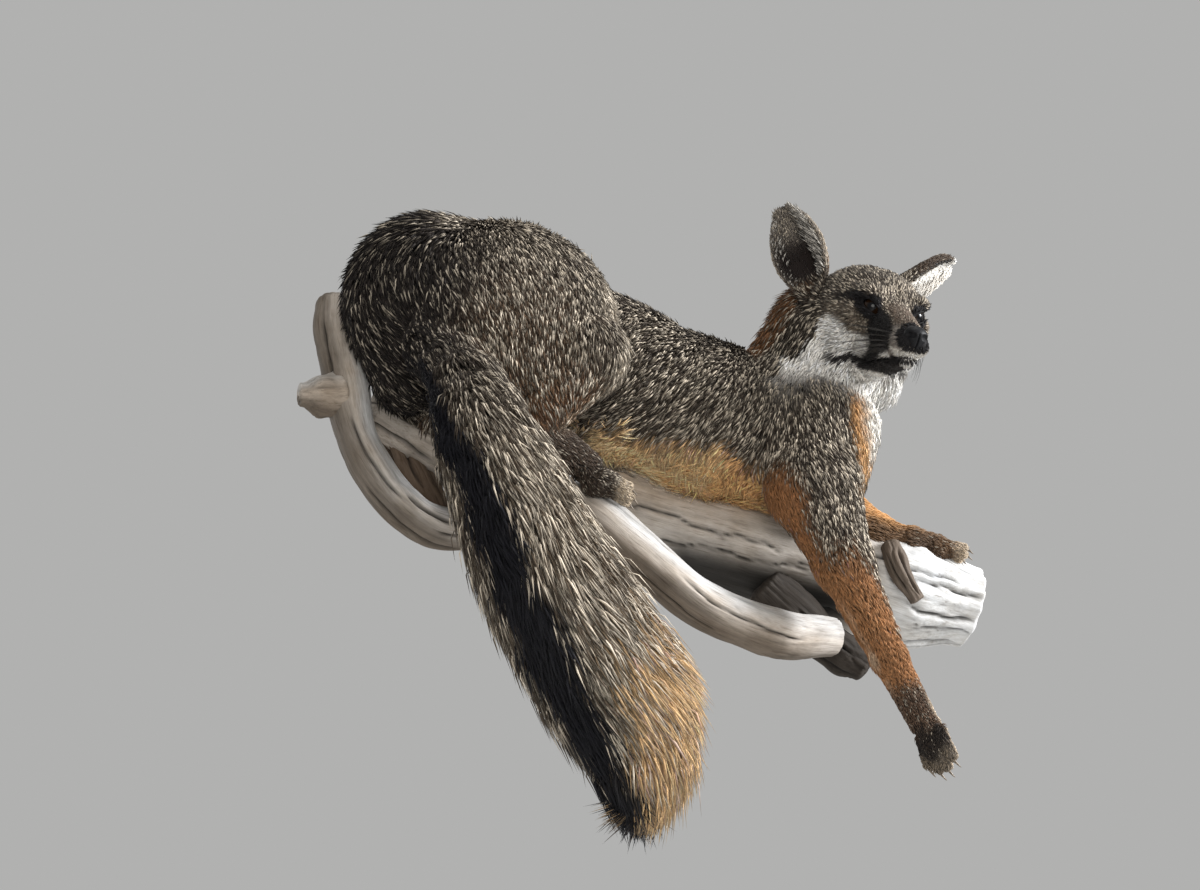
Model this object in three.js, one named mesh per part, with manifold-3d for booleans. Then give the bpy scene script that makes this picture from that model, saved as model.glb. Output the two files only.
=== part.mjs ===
// A gray fox (Urocyon cinereoargenteus), a mounted specimen lying along a driftwood limb on a wall.
// Millimetres, +Z up. The wall is the plane y = 0 and the fox lies in front of it, at y < 0.
// The origin is on the flat sawn back of the limb. The fox faces +X and its right side faces -Y.
import * as THREE from 'three';
import { mergeVertices } from 'three/addons/utils/BufferGeometryUtils.js';
import Module from 'manifold-3d';

const wasm = await Module();
wasm.setup();

const GAP = 0.45;             // clearance left between neighbouring pieces
const BODY_STEP = 24;         // facet size on the trunk
const HAUNCH_STEP = 20;       // facet size on the thighs
const HEAD_STEP = 9.6;        // facet size on the head
const LIMB_STEP = 10.5;       // facet size on the hanging foreleg
const PAW_STEP = 9;           // facet size on the feet
const BODY_BLEND = 14;        // how softly the big masses run together
const HAUNCH_BLEND = 12;
const HEAD_BLEND = 9;
const LIMB_BLEND = 5;
const HEAD_BLOCK = [150, 200];    // breadth and depth of the block that parts the head from the neck
const RUMP_BLOCK = [330, 300];    // the same for the rump and trunk

const EYE_RADIUS = 7.6;
const EYE_SPREAD = 14.5;      // from the middle of the face to each eye's centre
const EYE_DEPTH = 1.6;        // the eyeball's centre, forward of the middle of the face
const EAR_LENGTH = 60;
const EAR_HALF_WIDTH = 21.5;
const EAR_CUP = 13;           // the hollow of the ear at its base
const EAR_THICKNESS = 3.2;
const EAR_ROWS = 7;
const EAR_COLUMNS = 6;
const BALL_COLUMNS = 12;      // facets round an eye or the nose
const BALL_ROWS = 6;

const TAIL_SIDES = 12;
const TAIL_RINGS = 15;
const TAIL_RIPPLE = 0.02;
const END_DOME = 0.35;        // how far a limb's end bulges, over its radius
const LOG_DEEPEN = 1.2;       // the log's depth from the wall over its height
const WOOD_SIDES = 11;
const LOG_RINGS = 13;
const BRANCH_RINGS = 11;
const STUB_RINGS = 6;
const SNAG_SIDES = 10;        // the knob, the bark ridge and the slab
const SNAG_RINGS = 4;
const LOG_RIPPLE = 0.04;      // the height of the lobes that run along a limb, over its radius
const BRANCH_RIPPLE = 0.05;
const STUB_RIPPLE = 0.06;

const vec = (x, y, z) => new THREE.Vector3(x, y, z);

// ---------------------------------------------------------------- materials

const paint = (color, roughness) => (
  new THREE.MeshStandardMaterial({ color, roughness, metalness: 0 })
);
const grizzledCoat = paint(0x6a6258, 0.95);
const rufousCoat = paint(0xa8672f, 0.95);
const paleCoat = paint(0xd9cfbf, 0.95);
const darkCoat = paint(0x3a322b, 0.95);
const blackCoat = paint(0x1d1a19, 0.95);
const glassEye = paint(0x120c08, 0.05);
const noseLeather = paint(0x151312, 0.45);
const driftwood = paint(0xa7a6a4, 0.85);
const darkDriftwood = paint(0x5d564f, 0.9);

// ---------------------------------------------------------------- solids

function toSolid(geometry) {
  const bare = geometry.clone();
  bare.deleteAttribute('normal');
  bare.deleteAttribute('uv');
  const merged = mergeVertices(bare, 1e-4);
  const vertProperties = new Float32Array(merged.attributes.position.array);
  const triVerts = new Uint32Array(merged.index.array);
  return new wasm.Manifold(new wasm.Mesh({ numProp: 3, vertProperties, triVerts }));
}

function toGeometry(solid) {
  const mesh = solid.getMesh();
  const geometry = new THREE.BufferGeometry();
  geometry.setAttribute('position', new THREE.BufferAttribute(mesh.vertProperties, 3));
  geometry.setIndex(new THREE.BufferAttribute(mesh.triVerts, 1));
  geometry.computeVertexNormals();
  return geometry;
}

// The same solid with its surface moved outwards, to cut a neighbour with clearance.
function grown(solid, distance = GAP) {
  const geometry = toGeometry(solid);
  const place = geometry.attributes.position;
  const normal = geometry.attributes.normal;
  for (let i = 0; i < place.count; i += 1) {
    place.setXYZ(
      i,
      place.getX(i) + distance * normal.getX(i),
      place.getY(i) + distance * normal.getY(i),
      place.getZ(i) + distance * normal.getZ(i),
    );
  }
  return toSolid(geometry);
}

// The pieces of a solid that lie inside and outside a square block. The block's near face is centred
// on `start`, it reaches along `direction`, and a thin slot is left between the two pieces.
function part(solid, start, direction, width, length) {
  const way = direction.clone().normalize();
  const [inner, outer] = [-GAP / 2, GAP / 2].map((slack) => {
    const across = width + 2 * slack;
    const geometry = new THREE.BoxGeometry(across, across, length + 2 * slack);
    geometry.translate(0, 0, length / 2);
    geometry.applyQuaternion(new THREE.Quaternion().setFromUnitVectors(vec(0, 0, 1), way));
    geometry.translate(start.x, start.y, start.z);
    return toSolid(geometry);
  });
  return { inside: solid.intersect(inner), outside: solid.subtract(outer) };
}

// The solid less everything that the neighbours fill, with clearance, and less any loose crumb.
function clear(solid, ...neighbours) {
  const left = neighbours.reduce((rest, neighbour) => rest.subtract(grown(neighbour)), solid);
  return left.decompose().reduce((best, piece) => (piece.volume() > best.volume() ? piece : best));
}

// ---------------------------------------------------------------- muscle shapes, as distances

// A cone with round ends, from radius ra at a to radius rb at b.
function taper(a, ra, b, rb) {
  const axis = b.clone().sub(a);
  const length = axis.length();
  axis.divideScalar(length);
  const slope = (ra - rb) / length;
  const side = Math.sqrt(1 - slope * slope);
  return (p) => {
    const dx = p.x - a.x;
    const dy = p.y - a.y;
    const dz = p.z - a.z;
    const along = dx * axis.x + dy * axis.y + dz * axis.z;
    const out = Math.sqrt(Math.max(dx * dx + dy * dy + dz * dz - along * along, 0));
    const shift = along - (out * slope) / side;
    if (shift <= 0) return Math.hypot(dx, dy, dz) - ra;
    if (shift >= length) return p.distanceTo(b) - rb;
    return out * side + along * slope - ra;
  };
}

// An ellipsoid with half-sizes `size` along the three axes of `frame`.
function egg(centre, size, frame = WORLD) {
  return (p) => {
    const offset = p.clone().sub(centre);
    const x = offset.dot(frame.x) / size.x;
    const y = offset.dot(frame.y) / size.y;
    const z = offset.dot(frame.z) / size.z;
    const near = Math.sqrt(x * x + y * y + z * z);
    const steep = Math.sqrt((x / size.x) ** 2 + (y / size.y) ** 2 + (z / size.z) ** 2);
    return steep > 0 ? (near * (near - 1)) / steep : -Math.min(size.x, size.y, size.z);
  };
}

// The union of several shapes, with the creases between them filled over a width of `softness`.
function blend(shapes, softness) {
  return (p) => {
    let total = shapes[0](p);
    for (let i = 1; i < shapes.length; i += 1) {
      const next = shapes[i](p);
      const mix = Math.max(softness - Math.abs(total - next), 0) / softness;
      total = Math.min(total, next) - (mix * mix * softness) / 4;
    }
    return total;
  };
}

// Faces the surface where `shape` is zero with quads about `step` across (surface nets). A shape that
// runs out of the box between `low` and `high` is closed off there.
function facet(shape, low, high, step) {
  const count = ['x', 'y', 'z'].map((axis) => Math.ceil((high[axis] - low[axis]) / step) + 1);
  const [nx, ny, nz] = count;
  const value = new Float32Array(nx * ny * nz);
  const at = (i, j, k) => i + nx * (j + ny * k);
  const probe = vec(0, 0, 0);
  for (let k = 0; k < nz; k += 1) {
    for (let j = 0; j < ny; j += 1) {
      for (let i = 0; i < nx; i += 1) {
        probe.set(low.x + i * step, low.y + j * step, low.z + k * step);
        const edge = i <= 1 || j <= 1 || k <= 1 || i >= nx - 2 || j >= ny - 2 || k >= nz - 2;
        value[at(i, j, k)] = edge ? Math.max(shape(probe), step / 2) : shape(probe);
      }
    }
  }
  const corner = [];
  const cell = new Int32Array(nx * ny * nz).fill(-1);
  const edges = [];
  for (let a = 0; a < 8; a += 1) {
    for (const bit of [1, 2, 4]) {
      if (!(a & bit)) edges.push([a, a | bit]);
    }
  }
  for (let k = 0; k < nz - 1; k += 1) {
    for (let j = 0; j < ny - 1; j += 1) {
      for (let i = 0; i < nx - 1; i += 1) {
        let crossings = 0;
        const sum = [0, 0, 0];
        for (const [a, b] of edges) {
          const va = value[at(i + (a & 1), j + ((a >> 1) & 1), k + (a >> 2))];
          const vb = value[at(i + (b & 1), j + ((b >> 1) & 1), k + (b >> 2))];
          if (va < 0 === vb < 0) continue;
          const t = va / (va - vb);
          sum[0] += i + (a & 1) + t * ((b & 1) - (a & 1));
          sum[1] += j + ((a >> 1) & 1) + t * (((b >> 1) & 1) - ((a >> 1) & 1));
          sum[2] += k + (a >> 2) + t * ((b >> 2) - (a >> 2));
          crossings += 1;
        }
        if (crossings === 0) continue;
        cell[at(i, j, k)] = corner.length / 3;
        corner.push(
          low.x + (step * sum[0]) / crossings,
          low.y + (step * sum[1]) / crossings,
          low.z + (step * sum[2]) / crossings,
        );
      }
    }
  }
  const index = [];
  const quad = (first, second, third, fourth, flip) => {
    const [a, b, c, d] = [first, second, third, fourth].map((place) => cell[place]);
    if (flip) index.push(a, c, b, a, d, c);
    else index.push(a, b, c, a, c, d);
  };
  for (let k = 1; k < nz - 1; k += 1) {
    for (let j = 1; j < ny - 1; j += 1) {
      for (let i = 1; i < nx - 1; i += 1) {
        const inside = value[at(i, j, k)] < 0;
        if (inside !== value[at(i + 1, j, k)] < 0) {
          quad(at(i, j - 1, k - 1), at(i, j, k - 1), at(i, j, k), at(i, j - 1, k), !inside);
        }
        if (inside !== value[at(i, j + 1, k)] < 0) {
          quad(at(i - 1, j, k - 1), at(i - 1, j, k), at(i, j, k), at(i, j, k - 1), !inside);
        }
        if (inside !== value[at(i, j, k + 1)] < 0) {
          quad(at(i - 1, j - 1, k), at(i, j - 1, k), at(i, j, k), at(i - 1, j, k), !inside);
        }
      }
    }
  }
  const geometry = new THREE.BufferGeometry();
  geometry.setAttribute('position', new THREE.Float32BufferAttribute(corner, 3));
  geometry.setIndex(index);
  return toSolid(geometry);
}

// A closed tube of changing radius along a curve. Each stop is [x, y, z, radius]; `ripple` is the
// relative height of the lobes that run along it.
function limb(stops, sides, rings, ripple = 0, flatten = 1) {
  const curve = new THREE.CatmullRomCurve3(stops.map(([x, y, z]) => vec(x, y, z)), false, 'centripetal');
  const radiusAt = (t) => {
    const place = t * (stops.length - 1);
    const before = Math.min(Math.floor(place), stops.length - 2);
    const mix = place - before;
    const ease = mix * mix * (3 - 2 * mix);
    return stops[before][3] * (1 - ease) + stops[before + 1][3] * ease;
  };
  const corner = [];
  const index = [];
  let across = vec(0, 1, 0);
  for (let r = 0; r <= rings; r += 1) {
    const t = r / rings;
    const centre = curve.getPoint(t);
    const tangent = curve.getTangent(t);
    across = across.sub(tangent.clone().multiplyScalar(across.dot(tangent))).normalize();
    const other = tangent.clone().cross(across);
    for (let s = 0; s < sides; s += 1) {
      const angle = (2 * Math.PI * s) / sides;
      const lobes = 1 + ripple * (Math.sin(3 * angle + 7 * t) + 0.6 * Math.sin(2 * angle - 11 * t));
      const radius = radiusAt(t) * lobes;
      corner.push(
        centre.x + radius * (Math.cos(angle) * flatten * across.x + Math.sin(angle) * other.x),
        centre.y + radius * (Math.cos(angle) * flatten * across.y + Math.sin(angle) * other.y),
        centre.z + radius * (Math.cos(angle) * flatten * across.z + Math.sin(angle) * other.z),
      );
    }
  }
  for (let r = 0; r < rings; r += 1) {
    for (let s = 0; s < sides; s += 1) {
      const a = r * sides + s;
      const b = r * sides + ((s + 1) % sides);
      index.push(a, b, b + sides, a, b + sides, a + sides);
    }
  }
  for (const [ring, outward] of [[0, -1], [rings, 1]]) {
    const hub = corner.length / 3;
    const t = ring / rings;
    const tip = curve.getPoint(t).addScaledVector(curve.getTangent(t), outward * END_DOME * radiusAt(t));
    corner.push(tip.x, tip.y, tip.z);
    for (let s = 0; s < sides; s += 1) {
      const a = ring * sides + s;
      const b = ring * sides + ((s + 1) % sides);
      if (outward > 0) index.push(a, b, hub);
      else index.push(b, a, hub);
    }
  }
  const geometry = new THREE.BufferGeometry();
  geometry.setAttribute('position', new THREE.Float32BufferAttribute(corner, 3));
  geometry.setIndex(index);
  return toSolid(geometry);
}

// ---------------------------------------------------------------- frames

const WORLD = { x: vec(1, 0, 0), y: vec(0, 1, 0), z: vec(0, 0, 1) };

// The head is turned out from the wall, to look at the room and down. `faceMiddle` lies between
// the eyes; x runs to the nose, y to the fox's left ear and z to the crown.
const faceMiddle = vec(140.8, -190.8, 91.8);
const headForward = vec(-0.135, -0.863, -0.49).normalize();
const headUp = vec(0.105, -0.504, 0.857);
const headLeft = headUp.clone().cross(headForward).normalize();
const HEAD = { x: headForward, y: headLeft, z: headForward.clone().cross(headLeft).normalize() };

const onHead = (forward, left, up) => faceMiddle.clone()
  .addScaledVector(HEAD.x, forward)
  .addScaledVector(HEAD.y, left)
  .addScaledVector(HEAD.z, up);

// ---------------------------------------------------------------- the driftwood

const logStops = [
  [-180, -46, 57, 20], [-140, -41, 42, 27], [-80, -36, 20, 33], [0, -34, -1, 37],
  [80, -35, -17, 38], [150, -39, -34, 36], [202, -45, -52, 40], [254, -53, -65, 29],
];
const branchStops = [
  [-104, -62, 18, 20], [-62, -104, -30, 16], [-28, -116, -64, 16], [16, -112, -95, 16.5],
  [72, -96, -106, 16], [128, -72, -100, 14],
];
const stubStops = [
  [96, -50, -58, 17], [122, -52, -84, 17], [146, -56, -104, 15], [160, -60, -116, 11],
];
const uprightStops = [
  [-213, -66, 118, 13], [-213, -66, 98, 14], [-207, -66, 62, 15.5], [-198, -66, 20, 14],
  [-174, -58, -12, 13.5], [-141, -46, -27, 15], [-96, -34, -20, 15],
];
const knobStops = [[-211, -68, 51, 15], [-223, -69, 49, 14], [-236, -69, 48, 9]];
const barkStops = [[176, -90, -36, 6], [180, -92, -56, 9], [190, -92, -76, 6]];
const slabStops = [[-168, -34, 50, 17], [-154, -32, 12, 18], [-138, -32, -20, 15]];

// The branches as they grow, running into one another. The log is sawn flat where it meets the wall.
const room = new THREE.BoxGeometry(1200, 600, 1200);
room.translate(0, -300, 0);
const grownWood = {
  log: limb(logStops, WOOD_SIDES, LOG_RINGS, LOG_RIPPLE, LOG_DEEPEN).intersect(toSolid(room)),
  upright: limb(uprightStops, WOOD_SIDES, BRANCH_RINGS, BRANCH_RIPPLE),
  branch: limb(branchStops, WOOD_SIDES, BRANCH_RINGS, BRANCH_RIPPLE),
  stub: limb(stubStops, WOOD_SIDES, STUB_RINGS, STUB_RIPPLE),
  knob: limb(knobStops, SNAG_SIDES, SNAG_RINGS, BRANCH_RIPPLE),
  bark: limb(barkStops, SNAG_SIDES, SNAG_RINGS, BRANCH_RIPPLE),
  slab: limb(slabStops, SNAG_SIDES, SNAG_RINGS, BRANCH_RIPPLE),
};

function buildWood() {
  const { log, upright, branch, stub, knob, bark, slab } = grownWood;
  return {
    log,
    upright: clear(upright, log),
    branch: clear(branch, log),
    stub: clear(stub, log, branch),
    knob: clear(knob, upright),
    bark: clear(bark, log),
    slab: clear(slab, log, upright),
  };
}

// ---------------------------------------------------------------- the fox

const trunkMasses = [
  taper(vec(-155, -104, 109), 63, vec(-92, -99, 105), 65),
  taper(vec(-156, -98, 94), 53, vec(-168, -94, 62), 33),
  taper(vec(-82, -94, 96), 58, vec(-22, -85, 73), 57),
  taper(vec(-22, -85, 73), 57, vec(40, -86, 51), 56),
  taper(vec(40, -86, 51), 56, vec(92, -90, 42), 56),
  taper(vec(92, -90, 42), 56, vec(119, -95, 39), 46),
  egg(vec(100, -118, 40), vec(42, 34, 48)),
  egg(vec(133, -96, 16), vec(25, 34, 38)),
];
const neckMasses = [
  taper(vec(110, -98, 60), 52, vec(126, -128, 104), 43),
  taper(vec(133, -138, 72), 32, vec(116, -112, 34), 36),
];
const skullMasses = [
  egg(onHead(-35, -5, 1.5), vec(42, 38, 31), HEAD),
  egg(onHead(-16, 0, 2), vec(24.5, 25, 24), HEAD),
  taper(onHead(2, 0, -10), 18, onHead(48, 0, -17), 9.5),
  taper(onHead(-6, 0, -28), 17, onHead(46, 0, -29), 6.5),
  egg(onHead(-34, 20, -18), vec(28, 18, 26), HEAD),
  egg(onHead(-34, -20, -18), vec(28, 18, 26), HEAD),
  egg(onHead(-36, 5, -41), vec(30, 29, 25), HEAD),
];
const forelegRight = [
  taper(vec(112, -128, 32), 40, vec(94, -138, -16), 33),
  taper(vec(94, -138, -16), 32, vec(104, -146, -72), 20),
  taper(vec(104, -146, -72), 20, vec(126, -150, -138), 12.5),
];
const pawRight = [
  taper(vec(126, -150, -138), 12, vec(143, -152, -180), 10.5),
  egg(vec(150, -153, -196), vec(12, 14, 19)),
];
const forelegLeft = [
  taper(vec(138, -66, 6), 24, vec(172, -72, -20), 16),
  taper(vec(172, -72, -20), 16, vec(198, -80, -29), 12.5),
];
const pawLeft = [
  taper(vec(198, -80, -29), 12.5, vec(214, -84, -33), 11.5),
  egg(vec(221, -86, -36), vec(17, 13, 10)),
];
const haunchRight = [
  egg(vec(-112, -132, 84), vec(76, 50, 74)),
  taper(vec(-70, -146, 60), 34, vec(-98, -142, 22), 24),
];
const footRight = [
  taper(vec(-96, -134, 6), 15, vec(-66, -130, -12), 12),
  egg(vec(-50, -126, -24), vec(19, 15, 11)),
];

const tailStops = [
  [-170, -122, 74, 18], [-156, -157, 31, 24], [-148, -178, -20, 31], [-133, -181, -64, 37],
  [-113, -177, -105, 43], [-87, -167, -143, 46], [-62, -161, -182, 45], [-55, -155, -220, 35],
  [-60, -150, -250, 13],
];

const haunchLeft = [
  egg(vec(-112, -66, 82), vec(70, 34, 66)),
];
const footLeft = [
  taper(vec(-78, -30, 52), 13, vec(-36, -26, 44), 11),
  egg(vec(-22, -26, 42), vec(18, 13, 10)),
];

// A cupped leaf, for an ear: `axis` runs from base to tip and `open` is the way the cup faces.
function ear(base, axis, open) {
  const up = axis.clone().normalize();
  const front = open.clone().sub(up.clone().multiplyScalar(open.dot(up))).normalize();
  const side = up.clone().cross(front);
  const corner = [];
  const index = [];
  for (const depth of [0, -EAR_THICKNESS]) {
    for (let r = 0; r <= EAR_ROWS; r += 1) {
      const along = r / EAR_ROWS;
      const leaf = Math.sin(Math.PI * (0.2 + 0.795 * along)) ** 0.72;
      const half = EAR_HALF_WIDTH * leaf - 0.25 * Math.abs(depth);
      const cup = EAR_CUP * (1 - 0.8 * along);
      for (let c = 0; c <= EAR_COLUMNS; c += 1) {
        const v = (2 * c) / EAR_COLUMNS - 1;
        const rim = 1 - 0.65 * v * v;
        const place = base.clone()
          .addScaledVector(up, EAR_LENGTH * along)
          .addScaledVector(side, half * v)
          .addScaledVector(front, -cup * (1 - v * v) + depth * rim);
        corner.push(place.x, place.y, place.z);
      }
    }
  }
  const wide = EAR_COLUMNS + 1;
  const sheet = wide * (EAR_ROWS + 1);
  const quad = (a, b, c, d) => index.push(a, c, b, a, d, c);
  for (let r = 0; r < EAR_ROWS; r += 1) {
    for (let c = 0; c < EAR_COLUMNS; c += 1) {
      const a = r * wide + c;
      quad(a, a + wide, a + wide + 1, a + 1);
      quad(sheet + a, sheet + a + 1, sheet + a + wide + 1, sheet + a + wide);
    }
    const left = r * wide;
    const right = left + EAR_COLUMNS;
    quad(left, sheet + left, sheet + left + wide, left + wide);
    quad(right, right + wide, sheet + right + wide, sheet + right);
  }
  for (let c = 0; c < EAR_COLUMNS; c += 1) {
    const top = EAR_ROWS * wide + c;
    quad(c, c + 1, sheet + c + 1, sheet + c);
    quad(top, sheet + top, sheet + top + 1, top + 1);
  }
  const geometry = new THREE.BufferGeometry();
  geometry.setAttribute('position', new THREE.Float32BufferAttribute(corner, 3));
  geometry.setIndex(index);
  return toSolid(geometry);
}

function ball(centre, size, frame) {
  const geometry = new THREE.SphereGeometry(1, BALL_COLUMNS, BALL_ROWS);
  geometry.scale(size.x, size.y, size.z);
  geometry.applyMatrix4(new THREE.Matrix4().makeBasis(frame.x, frame.y, frame.z).setPosition(centre));
  return toSolid(geometry);
}

function buildFox() {
  const perch = Object.values(grownWood);
  const body = facet(
    blend([...trunkMasses, ...neckMasses, forelegRight[0], forelegLeft[0]], BODY_BLEND),
    vec(-250, -230, -90), vec(210, 0, 210), BODY_STEP,
  );
  const headCut = [onHead(-52, 0, 19), HEAD.x, ...HEAD_BLOCK];
  const headless = part(body, ...headCut).outside;
  const rumpCut = part(headless, vec(-70, -100, 100), vec(-1, 0, 0.1), ...RUMP_BLOCK);
  const neckCut = part(rumpCut.outside, vec(126, -110, 84), vec(0.25, -0.45, 0.86), 170, 200);
  const shoulderCut = [vec(98, -150, -6), vec(0.12, -0.05, -0.99), 110, 260];
  const torso = part(neckCut.outside, ...shoulderCut).outside;

  // head
  const eyeSize = vec(1, 1, 1).multiplyScalar(EYE_RADIUS);
  const eyeRight = ball(onHead(EYE_DEPTH, -EYE_SPREAD, 0), eyeSize, HEAD);
  const eyeLeft = ball(onHead(EYE_DEPTH, EYE_SPREAD, 0), eyeSize, HEAD);
  const nose = ball(onHead(52, 0, -15), vec(6.5, 8.2, 6.2), HEAD);
  const skull = facet(
    blend([...skullMasses, ...neckMasses], HEAD_BLEND),
    vec(50, -280, 10), vec(220, -60, 180), HEAD_STEP,
  );
  const head = clear(part(skull, ...headCut).inside, eyeRight, eyeLeft, nose);
  const earRight = clear(ear(vec(97, -160, 128), vec(-14, -3, 55), vec(-0.74, -0.58, -0.34)), head);
  const earLeft = clear(ear(vec(177, -162, 125), vec(49, 8, 37), vec(0.35, -0.35, -0.87)), head);

  // hind legs
  const thighRight = facet(
    blend(haunchRight, HAUNCH_BLEND),
    vec(-220, -210, -30), vec(0, -50, 190), HAUNCH_STEP,
  );
  const thighLeft = facet(
    blend(haunchLeft, HAUNCH_BLEND),
    vec(-220, -120, -10), vec(0, -10, 190), HAUNCH_STEP,
  );
  const hindRight = facet(blend(footRight, LIMB_BLEND), vec(-130, -170, -60), vec(0, -90, 40), PAW_STEP);
  const hindLeft = facet(blend(footLeft, LIMB_BLEND), vec(-110, -60, 10), vec(20, 0, 90), PAW_STEP);
  const hindFootRight = clear(hindRight, thighRight, ...perch);
  const hindFootLeft = clear(hindLeft, thighLeft, ...perch);

  // forelegs
  const legRight = facet(
    blend([...forelegRight, ...pawRight], LIMB_BLEND),
    vec(30, -210, -240), vec(190, -90, 90), LIMB_STEP,
  );
  const hanging = clear(part(legRight, ...shoulderCut).inside, ...perch);
  const wristCut = part(hanging, vec(127, -150, -140), vec(0.4, -0.03, -0.9), 90, 120);
  const legLeft = facet(
    blend([...forelegLeft, ...pawLeft], LIMB_BLEND),
    vec(90, -120, -60), vec(270, -30, 60), PAW_STEP,
  );

  // tail, in three lengths
  const grownTail = limb(tailStops, TAIL_SIDES, TAIL_RINGS, TAIL_RIPPLE);
  const tail = clear(grownTail, thighRight, rumpCut.inside, ...perch);
  const tipCut = part(tail, vec(-80, -170, -140), vec(0.4, 0.2, -0.9), 240, 200);
  const middleCut = part(tipCut.outside, vec(-140, -180, -45), vec(0.5, -0.05, -0.87), 240, 240);

  return {
    head,
    neck: neckCut.inside,
    ear_right: earRight,
    ear_left: earLeft,
    eye_right: eyeRight,
    eye_left: eyeLeft,
    nose,
    trunk: clear(torso, thighRight, thighLeft, hindFootLeft, hindFootRight, ...perch),
    rump: clear(rumpCut.inside, thighRight, thighLeft, hindFootLeft, ...perch),
    haunch_right: clear(thighRight, ...perch),
    haunch_left: clear(thighLeft, thighRight, ...perch),
    hind_foot_right: hindFootRight,
    hind_foot_left: hindFootLeft,
    foreleg_right: wristCut.outside,
    paw_front_right: wristCut.inside,
    foreleg_left: clear(legLeft, torso, ...perch),
    tail_base: middleCut.outside,
    tail_middle: middleCut.inside,
    tail_tip: tipCut.inside,
  };
}

const wood = buildWood();
const fox = buildFox();
const colours = {
  head: grizzledCoat,
  neck: rufousCoat,
  ear_right: darkCoat,
  ear_left: darkCoat,
  eye_right: glassEye,
  eye_left: glassEye,
  nose: noseLeather,
  trunk: grizzledCoat,
  rump: grizzledCoat,
  haunch_right: grizzledCoat,
  haunch_left: grizzledCoat,
  hind_foot_right: darkCoat,
  hind_foot_left: darkCoat,
  foreleg_right: rufousCoat,
  paw_front_right: darkCoat,
  foreleg_left: rufousCoat,
  tail_base: grizzledCoat,
  tail_middle: paleCoat,
  tail_tip: blackCoat,
};

const specimen = new THREE.Group();
function add(name, solid, material) {
  const mesh = new THREE.Mesh(toGeometry(solid), material);
  mesh.name = name;
  specimen.add(mesh);
}
for (const [name, solid] of Object.entries(fox)) add(name, solid, colours[name]);
add('driftwood_log', wood.log, driftwood);
add('driftwood_upright', wood.upright, driftwood);
add('driftwood_branch', wood.branch, driftwood);
add('driftwood_stub', wood.stub, darkDriftwood);
add('driftwood_knob', wood.knob, driftwood);
add('driftwood_bark', wood.bark, driftwood);
add('driftwood_slab', wood.slab, darkDriftwood);

export default specimen;
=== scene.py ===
"""The looks of the mounted gray fox and its driftwood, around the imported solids.

Shapes are worked out in millimetres in the row frame, and meshes are made in metres.
"""
import math
from itertools import product

import bmesh
import bpy
import numpy as np
from mathutils import Matrix, Vector


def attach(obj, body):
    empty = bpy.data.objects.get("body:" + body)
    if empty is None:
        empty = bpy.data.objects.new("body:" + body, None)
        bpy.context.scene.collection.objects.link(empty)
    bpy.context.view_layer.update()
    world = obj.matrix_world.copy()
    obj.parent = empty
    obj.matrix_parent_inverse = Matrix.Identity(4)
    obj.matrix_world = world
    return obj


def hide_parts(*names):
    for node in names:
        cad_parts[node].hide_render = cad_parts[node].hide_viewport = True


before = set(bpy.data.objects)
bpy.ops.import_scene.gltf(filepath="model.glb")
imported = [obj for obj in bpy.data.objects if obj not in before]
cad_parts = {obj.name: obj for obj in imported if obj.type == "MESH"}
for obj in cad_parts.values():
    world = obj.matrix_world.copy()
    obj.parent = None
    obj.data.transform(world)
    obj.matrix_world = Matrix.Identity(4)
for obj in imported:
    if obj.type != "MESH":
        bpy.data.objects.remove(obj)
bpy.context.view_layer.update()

MM = 0.001
TINY = 1e-6
rng = np.random.default_rng(7)


def unit(v):
    v = np.asarray(v, float)
    return v / np.linalg.norm(v)


def unit_rows(rows, least=0.0):
    """Each row made one long; `least` guards rows that are nearly nothing."""
    return rows / np.maximum(np.linalg.norm(rows, axis=1, keepdims=True), least)


def ramp(low, high, x):
    """From 0 at `low` to 1 at `high`, eased at both ends."""
    t = np.clip((x - low) / (high - low), 0, 1)
    return t * t * (3 - 2 * t)


# ---- camera, light and floor

CAMERA = np.array([-440.7, -1087.7, -457.3])
AHEAD = unit([0.3422, 0.847, 0.4067])
RIGHT = unit([0.9359, -0.346, -0.0669])
UP = np.cross(RIGHT, AHEAD)
LENS = 52.38                     # fitted to the photo, on a 36 mm sensor
SUBJECT = (0.0, -0.1, 0.0)       # what every light is aimed at, in metres
FLOOR = -1.3                     # metres
FLOOR_HALF = 6.0                 # metres

scene = bpy.context.scene
scene.view_settings.view_transform = "Standard"
camera = bpy.data.objects.new("camera", bpy.data.cameras.new("camera"))
camera.data.sensor_width = 36.0
camera.data.lens = LENS
camera.data.clip_start = 0.05
camera.data.clip_end = 50
stance = [[RIGHT[i], UP[i], -AHEAD[i], CAMERA[i] * MM] for i in range(3)]
camera.matrix_world = Matrix(stance + [[0, 0, 0, 1]])
scene.collection.objects.link(camera)
scene.camera = camera


def area_light(name, place, size, power, colour):
    data = bpy.data.lights.new(name, "AREA")
    data.shape = "DISK"
    data.size = size
    data.energy = power
    data.color = colour
    lamp = bpy.data.objects.new(name, data)
    lamp.location = place
    lamp.rotation_euler = (Vector(SUBJECT) - Vector(place)).to_track_quat("-Z", "Y").to_euler()
    scene.collection.objects.link(lamp)


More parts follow.
